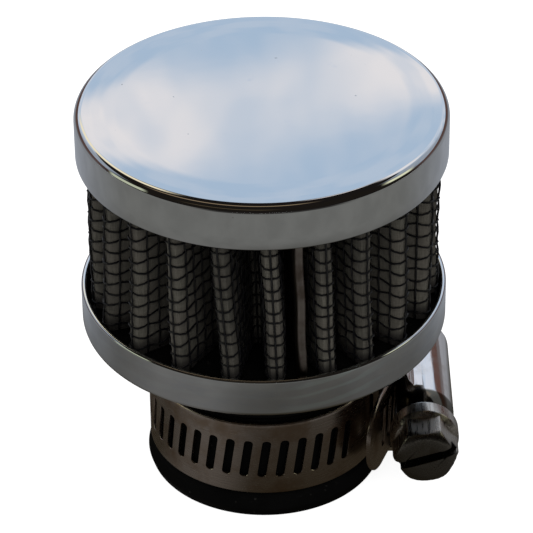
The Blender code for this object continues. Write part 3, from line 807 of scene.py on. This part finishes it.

# %% [markdown]
# Gauze is a very fine weave. Its threads are far thinner than a pixel here, so they are a
# bump and a slight change of tone along the sheet's own texture map: fine upright fibres
# with looser cross threads. The tone falls off towards the axis as painted shade, darker
# down in the valleys, and the foot of the sheet is dark where it soaked up the potting.

# %% Gauze finish
THREAD_DARK, THREAD_PALE = (0.046, 0.043, 0.034), (0.112, 0.105, 0.085)
GAUZE_STAIN, SOAKED = (0.085, 0.072, 0.062), (0.02, 0.018, 0.016)

material, tree, shader = new_material("gauze", (0.11, 0.105, 0.095), 0.95)
fibres = noise(uv_points(tree, (16.0, 0.8, 1.0)), 1.0, detail=4.0, roughness=0.65)
cross = noise(uv_points(tree, (1.2, 14.0, 1.0)), 1.0, detail=3.0)
patches = noise(uv_points(tree, (0.35, 0.35, 1.0)), 1.0, detail=2.0)
thread = plus(times(fibres, 0.7), times(cross, 0.3))
tone = blend(span(thread, 0.32, 0.68), THREAD_DARK, THREAD_PALE)
tone = blend(span(patches, 0.35, 0.7, 0.0, 0.35), tone, GAUZE_STAIN)
x, y, z = apart(object_points(tree))
# Painted shade: the gauze is darker towards the axis, down in the valleys between the pleats.
dust_and_shade = span(direct("LENGTH", flat_place(x, y)), 18.0 * MM, 24.0 * MM, 0.60, 0.86)
drift = noise(object_points(tree, (1.0, 1.0, 0.3)), 90.0, detail=1.0)
tone = direct("SCALE", tone, scale=times(dust_and_shade, span(drift, 0.40, 0.60, 0.72, 1.12)))
foot = span(z, RING_TOP - 0.6 * MM, RING_TOP + 1.3 * MM, 1.0, 0.0)
feed(shader, base_color=blend(foot, tone, SOAKED))
bump(shader, thread, 0.00008, 0.7)
dress(gauze, material)

# %% [markdown]
# ## Wire meshes
#
# Each mesh is level wires that follow the folds, called courses here, and uprights that
# stand on whole cells. They are woven: at each crossing one wire passes over the other, so
# a course dips below its line at every other upright, and the next course does the opposite.
# That alternation is easy to see on the crests. A wire is a tube of a few flat sides: a
# section carried along a path, with its two directions taken from the sheet.


# %% Woven wires
WIRE = 0.155 * MM
MESH_OUT = 0.40 * MM
WEAVE = 0.08 * MM
SWAY = 0.15 * MM
PROBE = 0.1 * MM
FIRST_COURSE, ROD_MARGIN = 0.6, 0.05


def wire_path(cell, height, offset, over):
    """Middle line of woven wires, and the way out of the sheet along it."""
    out = sheet(cell, height, offset + PROBE) - sheet(cell, height, offset)
    return sheet(cell, height, offset + math.copysign(WEAVE, offset) * over), unit(out)


def tube(path, first, second, radius, sides):
    """Points of a tube: path + radius * (cos a * first + sin a * second) for each side a."""
    a = 2 * np.pi * np.arange(sides) / sides
    return path[..., None, :] + radius * (np.cos(a)[:, None] * first[..., None, :]
                                          + np.sin(a)[:, None] * second[..., None, :])


def course_wires(name, offset, sides, per_cell=3):
    """All the level wires of one mesh as one piece of closed loops, per_cell points a cell."""
    cell = np.arange(cells * per_cell) / per_cell
    number = np.arange(int(courses))[:, None]
    over = np.cos(np.pi * (cell[None, :] + number))
    height = PACK_BOTTOM + (number + FIRST_COURSE) * COURSE_PITCH - SWAY * over
    path, out = wire_path(cell[None, :], height, offset, over)
    points = tube(path, out, np.broadcast_to([0.0, 0.0, 1.0], out.shape), WIRE, sides)
    size = cells * per_cell * sides
    faces = repeated(grid_faces(cells * per_cell, sides, wrap_rows=True), len(number), size)
    return mesh_piece(name, points, faces, merge=None, sharp=math.pi)


def upright_wires(name, offset, sides):
    """All the upright wires of one mesh as one piece of closed rods."""
    cell = np.arange(cells)[:, None]
    course = np.linspace(ROD_MARGIN, courses - ROD_MARGIN, 2 * int(courses))[None, :]
    over = -np.cos(np.pi * (cell + course - FIRST_COURSE))
    path, out = wire_path(cell, PACK_BOTTOM + course * COURSE_PITCH, offset, over)
    across = np.stack([out[..., 1], -out[..., 0], 0 * out[..., 0]], axis=-1)
    rings = tube(path, out, across, WIRE, sides)
    ends = (path[:, :1, None] + 0 * rings[:, :1], path[:, -1:, None] + 0 * rings[:, :1])
    points = np.concatenate([ends[0], rings, ends[1]], axis=1)
    rows = points.shape[1]
    return mesh_piece(name, points, repeated(grid_faces(rows, sides), cells, rows * sides),
                      sharp=math.pi)


meshes = [(course_wires("outer_course_wires", MESH_OUT, 5), "outer_mesh"),
          (upright_wires("outer_upright_wires", MESH_OUT, 4), "outer_mesh"),
          (course_wires("inner_course_wires", -MESH_OUT, 4, per_cell=2), "inner_mesh"),
          (upright_wires("inner_upright_wires", -MESH_OUT, 4), "inner_mesh")]

# %% [markdown]
# The wire is dipped in black lacquer. It is smooth, so it keeps a faint gleam, and thicker
# beads of lacquer sit at random along it.

# %% Lacquered wire
material, tree, shader = new_material("black_wire", (0.005, 0.005, 0.006), 0.30)
beads = noise(object_points(tree), 1400.0, detail=2.0)
feed(shader, base_color=blend(span(beads, 0.45, 0.75), (0.004, 0.004, 0.005),
                              (0.014, 0.013, 0.012)))
bump(shader, beads, 0.00003, 0.5)
for piece, stands_for in meshes:
    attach(piece, "filter")
    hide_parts(stands_for)
    dress(piece, material)

# %% [markdown]
# ## Rubber neck
#
# The neck, its shoulder and the plate inside the ring are one rubber moulding, so they are
# one turned profile. The band has pressed a shallow groove into the neck, and the rubber
# swells a little on both sides of it. Rubber has no sharp edge, so every corner is rounded.

# %% Neck
NECK_OUTLINE = np.array([
    (12.5, 28.75, 0.3), (13.4, 28.75, 0.3), (13.4, 27.75, 0.3), (24.4, 27.75, 0.3),
    (24.4, 24.85, 0.3), (22.8, 24.85, 0.2), (22.8, 23.75, 0.2), (16.3, 23.75, 1.5),
    (16.35, 17.05, 0.5), (15.6, 16.3, 0.25), (15.6, 3.7, 0.25), (16.35, 2.95, 0.4),
    (16.9, 1.5, 0.7), (16.4, 0.0, 0.6), (12.5, 0.0, 0.6)]) * MM

neck = turned("neck_moulding", rounded_outline(NECK_OUTLINE, 8), closed_loop=True)
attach(neck, "filter")
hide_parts("rubber_neck")

# %% [markdown]
# Black rubber is never quite black. It has a faint grain from the mould, a grey bloom in
# cloudy patches, and dust that clings to it, all of which mostly change the roughness.


# %% Rubber and potting finish
def rubber(name, tone, dust_and_shade):
    """Moulded black rubber; dust is the share of grey specks."""
    material, tree, shader = new_material(name, (tone,) * 3, 0.6)
    shader.inputs["Specular IOR Level"].default_value = 0.07
    bloom = noise(object_points(tree), 130.0, detail=4.0, roughness=0.6)
    specks = span(noise(object_points(tree), 1500.0, detail=1.0), 0.72, 0.80)
    paint = blend(span(bloom, 0.35, 0.75, 0.0, 0.6), (tone,) * 3,
                  (tone * 1.9, tone * 1.85, tone * 1.75))
    paint = blend(times(specks, dust_and_shade), paint, (0.045, 0.042, 0.038))
    feed(shader, base_color=paint, roughness=span(bloom, 0.3, 0.7, 0.48, 0.72))
    bump(shader, noise(object_points(tree), 2600.0, detail=2.0), 0.00004, 0.6)
    return material


dress(neck, rubber("neck_rubber", 0.0020, 0.3))
dress(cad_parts["top_seal"], rubber("potting", 0.010, 0.1))

# %% [markdown]
# ## Seam strip
#
# The two cut ends of the folded sheet are held together by a strip of thin metal, folded
# over them. From outside it is one plain upright bar in a valley. Its section is a keyhole,
# a thin stem that runs inwards and a wider bead outside, carried up the seam with the
# valley's own twist. Its two ends are closed by drawing the section in to its middle line.

# %% Seam strip
KEYHOLE_HALF = np.array([(15.0, 0.25, 0.1), (21.4, 0.25, 0.2), (22.0, 0.6, 0.4),
                         (24.0, 0.6, 0.5)]) * MM
STRIP_WAVE = 0.06 * MM
FOOT_NARROW, FOOT_HEIGHT = 0.72, 1.6 * MM

keyhole = rounded_outline(np.concatenate([KEYHOLE_HALF * [1, -1, 1], KEYHOLE_HALF[::-1]]), 5)
rise = np.concatenate([[0.0, 0.15, 0.5], np.linspace(1.2, 23.6, 40), [23.95, 24.1]]) * MM
narrow = np.clip(FOOT_NARROW + (1 - FOOT_NARROW) * np.sqrt(np.clip(rise / FOOT_HEIGHT, 0, 1)), 0, 1)
turn = (SEAM_AZIMUTH + VALLEY_TWISTS[0] * (0.5 - rise / (PACK_TOP - PACK_BOTTOM)))[:, None]
wave = STRIP_WAVE * np.sin(rise / MM * 0.55 + 0.8)
out, across = keyhole[None, :, 0], keyhole[None, :, 1] * narrow[:, None] + wave[:, None]
loops = lifted(polar(out, turn) + polar(across, turn + 90), PACK_BOTTOM + rise[:, None])
middle = loops.mean(axis=1, keepdims=True)
ends = [middle[k] + 0.02 * (loops[k] - middle[k]) for k in (0, -1)]
points = with_ends(with_ends(loops, *ends), middle[0], middle[-1])
seam = mesh_piece("seam_strip", points, grid_faces(*points.shape[:2]))
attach(seam, "filter")
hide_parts("seam_clip")

# %% Seam strip finish
material, tree, shader = new_material("seam_steel", (0.36, 0.31, 0.28), 0.42, 1.0)
drawn = noise(object_points(tree, (1.0, 1.0, 0.05)), 2400.0, detail=3.0)
tarnish = noise(object_points(tree), 300.0, detail=5.0, roughness=0.65)
feed(shader, roughness=span(tarnish, 0.3, 0.7, 0.34, 0.55),
     base_color=blend(span(tarnish, 0.35, 0.7), (0.40, 0.355, 0.33), (0.25, 0.20, 0.175)))
bump(shader, drawn, 0.00003, 0.5)
dress(seam, material)

# %% [markdown]
# ## Clamp band
#
# The band is one strip of stainless steel, 12 mm wide and 0.6 mm thick. It starts under the
# saddle, runs once round the neck, climbs over its own start, passes under the worm, and ends
# in a straight tail with a half-round tip. Slanted slots are punched through it, one to each
# turn of the worm's thread.
#
# A Boolean cut would leave long thin faces round each slot, which shade badly on polished
# metal. So the strip is laid out flat first, as distance `s` from the tail's tip and height
# `z`. Each slot sits in a cell of its own, made of rings that change from the cell's
# rectangle to the slot's rounded outline, then go down through the slot and back on the other
# side. Only then is the flat layout bent round the route.

# %% Route of the band's middle line
BAND_RADIUS, PASS_RADIUS = 16.2 * MM, 18.5 * MM
BAND_MIDDLE = 10.0 * MM
BAND_HALF, BAND_FACE = 6.0 * MM, 5.4 * MM
HALF_THICK = 0.3 * MM
TAIL_LEAN, TAIL_LENGTH = 20.0, 9.0 * MM
RAMP_START, RAMP_END, FIRST_AZIMUTH = 168.0, 110.0, 120.0
SLOT_PITCH = 2.5 * MM
STEPS_PER_CELL = 6

fixed = np.arange(RAMP_START - 360, FIRST_AZIMUTH + 0.25, 0.5)
climb_at = np.arange(90 - TAIL_LEAN, RAMP_START, 0.5)
share = np.clip((RAMP_START - climb_at) / (RAMP_START - RAMP_END), 0, 1)
climb = polar(BAND_RADIUS + (PASS_RADIUS - BAND_RADIUS) * share ** 2 * (3 - 2 * share), climb_at)
tail = climb[0] + polar(1.0, -TAIL_LEAN) * np.linspace(TAIL_LENGTH, 0.1 * MM, 60)[:, None]
route = np.concatenate([tail, climb, polar(BAND_RADIUS, fixed)])
route_s = distances(route)
route_out = rightwards(unit(np.gradient(route, route_s, axis=0)))
band_cells = int(route_s[-1] / SLOT_PITCH)
print("band length", round(route_s[-1] / MM, 1), "mm, cells", band_cells)


def on_band(s, z, out):
    """Bend the flat layout: the route's place at s, moved out along its normal, at height z."""
    s, z, out = np.broadcast_arrays(s, z, out)
    place = sampled(s, route_s, route) + out[..., None] * sampled(s, route_s, route_out)
    return lifted(place, BAND_MIDDLE + z)


# %% [markdown]
# The slots stop where the band lies under the saddle. A plain stretch is a closed section,
# two flat faces joined by rounded edges, carried along the route. In the slotted stretch
# the same section is split: the slot cells take the flat faces, and two strips take the
# rounded edges. Points on the seams between them coincide, so they merge into one skin.

# %% Sections, slot cells and edges
SLOT_HALF_WIDTH, SLOT_HALF_LENGTH, SLOT_ROUND = 0.60 * MM, 3.05 * MM, 0.46 * MM
SLOT_LEAN = 8.5
TAIL_ROUND = 5.4 * MM
FIRST_SLOT = 2
SADDLE_HALF_ANGLE = 45
UNDER_RADIUS = 16.35 * MM

face_z = np.linspace(-BAND_FACE, BAND_FACE, 13)
edge_z = np.array([5.75, 5.93, 6.0, 5.93, 5.75]) * MM
edge_out = np.array([1.0, 0.6, 0.0, -0.6, -1.0]) * HALF_THICK
section_z = np.concatenate([face_z, edge_z, face_z[::-1], -edge_z])
section_out = np.concatenate([0 * face_z + HALF_THICK, edge_out, 0 * face_z - HALF_THICK,
                              -edge_out])

middle = sampled((np.arange(band_cells) + 0.5) * SLOT_PITCH, route_s, route)
middle_azimuth = np.degrees(np.arctan2(middle[:, 0], -middle[:, 1])) % 360
under = ((abs(middle_azimuth - 90) < SADDLE_HALF_ANGLE)
         & (np.hypot(*middle.T) < UNDER_RADIUS))
last_slot = int(np.argmax(under))
print("slots", last_slot - FIRST_SLOT)


def plain_stretch(s, half):
    """Closed section scaled to a half width, at each distance s; half is one value a place."""
    z = section_z[None, :] * (half / BAND_HALF)[:, None]
    return on_band(s[:, None], z, section_out[None, :])


def mirrored(left, top):
    """Closed outline from its left side, going up, and its top, by half a turn."""
    half = np.concatenate([left[:-1], top[:-1]])
    return np.concatenate([half, -half])


def slot_rings():
    """Rings (s, z, out) of one cell, about its own middle, from rectangle to slot and back.

    A ring is rectangle + t * (slot - rectangle) on a face, and the slot's own outline inside.
    The slot's outline leans, so its top is further from the tail's tip than its foot.
    """
    half, w, top, r = SLOT_PITCH / 2, SLOT_HALF_WIDTH, SLOT_HALF_LENGTH, SLOT_ROUND
    along = np.linspace(-half, half, STEPS_PER_CELL + 1)
    box = mirrored(np.stack([0 * face_z - half, face_z], 1),
                   np.stack([along, 0 * along + BAND_FACE], 1))
    k = r * (1 - math.sqrt(0.5))
    side = np.linspace(-(top - r), top - r, 13)
    cap = np.array([(-w, top - r), (-w + k, top - k), (-w + r, top), (0, top), (w - r, top),
                    (w - k, top - k), (w, top - r)])
    slot = swung(mirrored(np.stack([0 * side - w, side], 1), cap), -math.radians(SLOT_LEAN))
    t = np.array([0.0, 0.45, 0.8, 0.97, 1.0, 1.0, 1.0, 0.97, 0.8, 0.45, 0.0])
    out = np.array([1.0, 1.0, 1.0, 1.0, 0.75, 0.0, -0.75, -1.0, -1.0, -1.0, -1.0]) * HALF_THICK
    return lifted(box[None] + t[:, None, None] * (slot - box)[None], out[:, None])


def steps_between(first, last):
    """Distances from one cell's start to another's, in even steps."""
    steps = np.arange(first * STEPS_PER_CELL, last * STEPS_PER_CELL + 1)
    return steps / STEPS_PER_CELL * SLOT_PITCH


# %% The band's skin, joined from its stretches
tip = np.concatenate([[0.0, 0.02, 0.06, 0.12, 0.22], np.arange(1, 13) / STEPS_PER_CELL * 2.5]) * MM
short = TAIL_ROUND - np.sqrt(TAIL_ROUND ** 2 - np.clip(TAIL_ROUND - tip, 0, TAIL_ROUND) ** 2)
tail_points = np.concatenate([on_band(0.0, section_z * 0.1, 0 * section_out)[None],
                              plain_stretch(tip, BAND_HALF - short)])

end_s = steps_between(last_slot, band_cells)
end_points = np.concatenate([plain_stretch(end_s, 0 * end_s + BAND_HALF),
                             on_band(end_s[-1], section_z, 0 * section_out)[None]])

rings = slot_rings()
centres = (np.arange(FIRST_SLOT, last_slot) + 0.5) * SLOT_PITCH
cell_points = on_band(centres[:, None, None] + rings[..., 0], rings[..., 1], rings[..., 2])
ring_count, ring_size = rings.shape[:2]
cell_faces = repeated(grid_faces(ring_count, ring_size), len(centres), ring_count * ring_size)

rim_s = steps_between(FIRST_SLOT, last_slot)
rim_z = np.concatenate([[BAND_FACE], edge_z, [BAND_FACE]])
rim_out = np.concatenate([[HALF_THICK], edge_out, [-HALF_THICK]])
rim_faces = grid_faces(len(rim_s), len(rim_z), wrap_columns=False)
upper_rim, lower_rim = (on_band(rim_s[:, None], side * rim_z[None, :], rim_out[None, :])
                        for side in (1, -1))
points, faces = joined([
    (tail_points, grid_faces(*tail_points.shape[:2])),
    (end_points, grid_faces(*end_points.shape[:2])),
    (cell_points, cell_faces), (upper_rim, rim_faces), (lower_rim, rim_faces[:, ::-1])])
band = mesh_piece("band_strip", points, faces, merge=WIDE_MERGE)
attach(band, "filter")
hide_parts("clamp_band")

# %% [markdown]
# ## Saddle
#
# The saddle is a curved plate between the band's two layers. Its section is the same as the
# band's plain one, only thicker, carried along a short arc.

# %% Saddle plate
SADDLE_RADIUS, SADDLE_HALF_THICK = 17.2 * MM, 0.4 * MM

saddle_at = 90 + np.linspace(-25, 25, 41)[:, None]
thick = section_out / HALF_THICK * SADDLE_HALF_THICK
plate, core = (lifted(polar(SADDLE_RADIUS + out, saddle_at), BAND_MIDDLE + section_z)
               for out in (thick, 0 * thick))
points = with_ends(plate, core[0], core[-1])
saddle = mesh_piece("saddle_plate", points, grid_faces(*points.shape[:2]), merge=WIDE_MERGE)
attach(saddle, "filter")
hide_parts("clamp_saddle")

# %% [markdown]
# Strip steel comes off the rollers with fine lines along its length. Round the neck these
# lines follow the angle about the axis, so the pattern reads the angle and the height, and it
# is stretched along the angle. The slots' edges and the tail are rubbed bright or stained
# brown in patches, which follows a soft noise.


# %% Rolled stainless finish
def rolled_steel(name, colour, stain, roughness):
    """Stainless strip with lines along it and stains."""
    material, tree, shader = new_material(name, colour, roughness, 1.0)
    x, y, z = apart(object_points(tree))
    lines = noise(flat_place(times(azimuth(x, y), 0.0016), z), 3800.0, detail=3.0, roughness=0.7)
    patches = noise(object_points(tree), 220.0, detail=4.0, roughness=0.6)
    paint = blend(span(patches, 0.42, 0.68), colour, stain)
    paint = blend(span(lines, 0.35, 0.7, 0.0, 0.3), paint, tuple(c * 0.7 for c in colour))
    rough = plus(span(lines, 0.3, 0.7, roughness - 0.07, roughness + 0.09),
                 span(patches, 0.45, 0.7, 0.0, 0.10))
    feed(shader, base_color=paint, roughness=rough)
    bump(shader, lines, 0.000012, 0.5)
    return material


dress(band, rolled_steel("band_steel", (0.60, 0.52, 0.47), (0.42, 0.31, 0.23), 0.28))
dress(saddle, rolled_steel("saddle_steel", (0.48, 0.44, 0.38), (0.30, 0.23, 0.17), 0.30))

# %% [markdown]
# ## Worm housing
#
# The housing is pressed from sheet: a dome over the worm, a rounded nose at the screw's end,
# and shoulders that turn down over both edges of the band. It is made in two closed skins
# that pass into each other. The barrel is turned about the screw's axis and flattened where
# the band passes. The bridge is one section, with a smooth hollow between dome and shoulder,
# carried along the same axis.


# %% Places on the screw's own axis
WORM_X = 22.3 * MM


def on_screw(section, along):
    """World places from a section (x outwards, z up) and a distance towards the head (-Y)."""
    x, z, along = np.broadcast_arrays(section[..., 0], section[..., 1], along)
    return np.stack([WORM_X + x, -along, BAND_MIDDLE + z], axis=-1)


def screw_turned(profile, steps, floor=-1.0):
    """Turn an (r, along) profile about the screw's axis, with x kept above a floor."""
    a = np.linspace(0, 2 * np.pi, steps, endpoint=False)
    section = profile[:, :1, None] * circle(a)
    section[..., 0] = np.maximum(section[..., 0], np.reshape(floor, (-1, 1)))
    return on_screw(section, profile[:, 1:]), grid_faces(len(profile), steps)


# %% Barrel
BARREL, BARREL_BACK = 4.4 * MM, -11.7 * MM
NOSE_START, NOSE_LENGTH, NOSE_DROP, NOSE_ARC = 6.0 * MM, 3.4 * MM, 1.4 * MM, math.radians(72)
BACK_ROUND = 1.6 * MM
OUTER_FLOOR, INNER_FLOOR = -3.48 * MM, -3.30 * MM
NOSE_RADIUS = BARREL - NOSE_DROP * (1 - math.cos(NOSE_ARC))

turn = np.linspace(0, NOSE_ARC, 14)
nose = np.stack([BARREL - NOSE_DROP * (1 - np.cos(turn)),
                 NOSE_START + NOSE_LENGTH * np.sin(turn) / math.sin(NOSE_ARC)], axis=1)
turn = np.radians(np.linspace(90, 0, 9))
back = np.stack([BARREL - BACK_ROUND * (1 - np.cos(turn)),
                 BARREL_BACK + BACK_ROUND * (1 - np.sin(turn))], axis=1)
bore = rounded_outline(np.array([(NOSE_RADIUS / MM, 9.4, 0.0), (2.35, 9.4, 0.2), (2.35, 8.0, 0.1),
                                 (3.5, 8.0, 0.3), (3.5, -10.8, 0.5), (0.0, -10.8, 0.0)]) * MM,
                       5, closed_loop=False)[1:]
floors = np.repeat([OUTER_FLOOR, INNER_FLOOR], [1 + len(back) + len(nose), len(bore)])
barrel = screw_turned(np.concatenate([[(0.0, BARREL_BACK)], back, nose, bore]), 96, floors)

# %% Bridge, from the outer and the inner side of half its section
BRIDGE_SIDE = np.array([(-5.5, 7.0, 0.0), (-2.45, 7.0, 0.75), (-1.9, 5.35, 0.9),
                        (-1.25, 4.5, 0.55), (0.4, 4.38, 0.0)]) * MM
BRIDGE_INSIDE = np.array([(-5.5, 6.3), (-3.2, 6.3), (-3.08, 3.4)]) * MM
DOME_OUTSIDE, DOME_INSIDE = 4.38 * MM, 3.6 * MM
STATIONS = np.array([-5.5, -5.5, -5.44, -5.2, 5.2, 5.44, 5.5, 5.5]) * MM
DRAWN_IN = np.array([1.0, 0.1, 0.03, 0.0, 0.0, 0.03, 0.1, 1.0])

arc = circle(np.radians(np.linspace(84, -84, 33)))
outer_half = rounded_outline(BRIDGE_SIDE, 7, closed_loop=False)[:-1]
inner_half = sampled(np.linspace(0, 2, len(outer_half)), range(3), BRIDGE_INSIDE)
outer, inner = (np.concatenate([half, arc * radius, (half * [1, -1])[::-1]])
                for half, radius in ((outer_half, DOME_OUTSIDE), (inner_half, DOME_INSIDE)))
section = np.concatenate([outer, inner[::-1]])
middle = (outer + inner) / 2
collapsed = np.concatenate([middle, middle[::-1]])
drawn_in = DRAWN_IN[:, None, None]
shapes = (1 - drawn_in) * section + drawn_in * collapsed
points, faces = joined([barrel, (on_screw(shapes, STATIONS[:, None]),
                                 grid_faces(*shapes.shape[:2]))])
housing = mesh_piece("housing_shell", points, faces, merge=WIDE_MERGE)
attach(housing, "filter")
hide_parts("clamp_housing")

# %% [markdown]
# ## Worm screw
#
# The screw turns in the housing, so it rides on a body of its own. Its shaft and flange are
# turned, and the thread is a ridge whose radius follows the angle plus the distance along the
# screw. The head is a hexagon with its corners cut by a domed crown. The driver slot goes
# right across it, so the head is built as a full prism up to the slot's floor with two half
# prisms on it, one on each side of the slot.

# %% Shaft, thread and flange
THREAD_RADIUS, THREAD_PITCH, THREAD_DEPTH = 3.17 * MM, 2.5 * MM, 0.55 * MM
THREAD_START, THREAD_END, THREAD_FADE = -10.5 * MM, 7.6 * MM, 1.0 * MM
SHAFT = np.array([(0.0, 7.0, 0.0), (2.0, 7.0, 0.2), (2.0, 9.7, 0.1), (4.83, 9.7, 0.36),
                  (4.83, 12.0, 0.36), (4.25, 12.75, 0.5), (3.4, 12.95, 0.2),
                  (0.0, 12.95, 0.0)]) * MM

at = np.linspace(THREAD_START, THREAD_END, 150)
a = np.linspace(0, 2 * np.pi, 40, endpoint=False)
phase = at[:, None] / THREAD_PITCH - a[None, :] / (2 * np.pi)
ridge = np.clip(1.6 * np.cos(2 * np.pi * phase), -1, 1)
fade = np.clip(np.minimum(at - at[0], at[-1] - at) / THREAD_FADE, 0, 1)
radius = THREAD_RADIUS - THREAD_DEPTH * (1 - (ridge + 1) / 2 * fade[:, None])
section = radius[..., None] * circle(a)
thread = with_ends(on_screw(section, at[:, None]),
                   *(on_screw(np.zeros(2), end) for end in (THREAD_START, THREAD_END)))
shaft = screw_turned(rounded_outline(SHAFT, 8, closed_loop=False), 96)

# %% Head in three prisms
HEX_TURN, SLOT_TURN = math.radians(4.0), math.radians(18.0)
HEX_CORNER = 4.0 * MM / math.cos(math.pi / 6)
HEX_EDGE_ROUND = 0.16 * MM
HEAD_START, SLOT_FLOOR, HEAD_END = 11.9 * MM, 15.3 * MM, 16.9 * MM
SLOT_HALF = 0.62 * MM
CROWN_R, CROWN_DEPTH = 2.8 * MM, 1.6 * MM
FAR = 9 * MM


def hexagon_side(low, high):
    """Hexagon's corners cut to a stripe low < v < high, where v is measured across the slot."""
    a = HEX_TURN - SLOT_TURN + np.arange(6) * np.pi / 3
    shape = HEX_CORNER * circle(a)
    for limit, keep in ((low, 1.0), (high, -1.0)):
        inside = keep * (shape[:, 1] - limit) >= 0
        step = np.roll(shape, -1, axis=0) - shape
        crossing = inside != np.roll(inside, -1)
        share = np.where(crossing, (limit - shape[:, 1]) / np.where(crossing, step[:, 1], 1.0), 0)
        both = np.stack([shape, shape + share[:, None] * step], axis=1).reshape(-1, 2)
        shape = both[np.stack([inside, crossing], axis=1).ravel()]
    return shape


def prism(low, high, foot, top, bevel):
    """Closed prism on a stripe of the hexagon, whose top is cut to the head's crown.

    A point at radius r on a level is pulled in to the crown's radius there. The crown is a
    quarter ellipse, from CROWN_R at the end of the head to the corner CROWN_DEPTH below it.
    """
    shape = hexagon_side(low, high)
    outline = rounded(shape, HEX_EDGE_ROUND, steps=3)
    outline = sampled(np.arange(len(outline) * 6) / 6, range(len(outline) + 1), closed(outline))
    centre = shape.mean(axis=0)
    t = np.linspace(0, np.pi / 2, 5)
    down = CROWN_DEPTH * (1 - np.cos(np.linspace(np.pi / 2, 0.3, 14)))
    drop = np.concatenate([[top - foot], np.maximum(down, bevel * 1.1), bevel * (1 - np.sin(t))])
    inwards = np.concatenate([np.zeros(15), bevel * (1 - np.cos(t))])
    levels = outline[None] - unit(outline - centre)[None] * inwards[:, None, None]
    height = top - drop
    below = np.clip((HEAD_END - height) / CROWN_DEPTH, 0, 1)
    crown = CROWN_R + (HEX_CORNER - CROWN_R) * np.sqrt(1 - (1 - below) ** 2)
    r = np.linalg.norm(levels, axis=2)
    levels = levels * np.minimum(1.0, crown[:, None] / np.maximum(r, 1e-9))[..., None]
    height = np.concatenate([height[:1], height, height[-1:]])
    section = swung(with_ends(levels, centre, centre), SLOT_TURN)
    return on_screw(section, height[:, None]), grid_faces(*section.shape[:2])


points, faces = joined([(thread, grid_faces(*thread.shape[:2])), shaft,
                        prism(-FAR, FAR, HEAD_START, SLOT_FLOOR, 0.02 * MM),
                        prism(SLOT_HALF, FAR, SLOT_FLOOR, HEAD_END, 0.12 * MM),
                        prism(-FAR, -SLOT_HALF, SLOT_FLOOR, HEAD_END, 0.12 * MM)])
screw = mesh_piece("worm_screw", points, faces, merge=WIDE_MERGE)
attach(screw, "worm")
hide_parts("clamp_screw")

# %% [markdown]
# The housing is polished stainless, with fine scratches along the screw and a warm tint from
# the press. Next to the band it is painted black as shade, and its nose is painted brown as a
# dark reflection. The screw is plated steel, duller and browner, with painted shade on its
# end and in the driver slot.

# %% Polished housing and plated screw
# Colours of the painted shade next to the band and of the nose's painted dark reflection.
PAINTED_SHADE, NOSE_SHADE = (0.022, 0.019, 0.015), (0.13, 0.115, 0.09)


def clamp_metal(name, colour, stain, roughness, scratch):
    """Bright pressed metal with fine scratches and stains, and what to finish it with."""
    material, tree, shader = new_material(name, colour, roughness, 1.0)
    scratches = noise(object_points(tree, (1.0, 0.06, 1.0)), 2600.0, detail=3.0, roughness=0.7)
    stains = noise(object_points(tree), 260.0, detail=5.0, roughness=0.6)
    paint = blend(span(stains, 0.50, 0.80), colour, stain)
    rough = plus(span(scratches, 0.35, 0.7, roughness * 0.7, roughness * 1.4),
                 span(stains, 0.5, 0.75, 0.0, 0.12))
    bump(shader, scratches, 0.000008, scratch)
    bump(shader, noise(object_points(tree), 170.0, detail=2.0), 0.00006, 0.4)
    return material, shader, apart(object_points(tree)), paint, rough


material, shader, (x, y, z), paint, rough = clamp_metal(
    "housing_steel", (0.84, 0.80, 0.78), (0.74, 0.68, 0.64), 0.11, 0.5)
# Painted shade: black next to the band, and a brown painted dark reflection on the nose.
level = calc("ABSOLUTE", calc("SUBTRACT", z, BAND_MIDDLE))
shade_mask = times(span(x, 19.7 * MM, 20.2 * MM, 1.0, 0.0), span(level, 5.7 * MM, 6.4 * MM, 1.0, 0.0))
paint = blend(span(y, -6.5 * MM, -5.9 * MM, 1.0, 0.0), paint, NOSE_SHADE)
feed(shader, base_color=blend(shade_mask, paint, PAINTED_SHADE), roughness=plus(rough, times(shade_mask, 0.4)))
dress(housing, material)

material, shader, (x, y, z), paint, rough = clamp_metal(
    "screw_plating", (0.54, 0.50, 0.45), (0.36, 0.29, 0.21), 0.30, 0.35)
# Painted shade in the driver slot and on the end of the head.
across = direct("DOT_PRODUCT", object_points(shader.id_data),
                (-math.sin(SLOT_TURN), 0.0, math.cos(SLOT_TURN)))
middle = BAND_MIDDLE * math.cos(SLOT_TURN) - WORM_X * math.sin(SLOT_TURN)
across = calc("ABSOLUTE", calc("SUBTRACT", across, middle))
slot = times(span(across, 0.58 * MM, 0.66 * MM, 0.96, 0.0),
             span(y, -15.2 * MM, -14.8 * MM, 1.0, 0.0))
shade_mask = calc("MAXIMUM", slot, span(y, -16.6 * MM, -15.4 * MM, 0.66, 0.0))
feed(shader, base_color=blend(shade_mask, paint, PAINTED_SHADE), roughness=rough)
dress(screw, material)
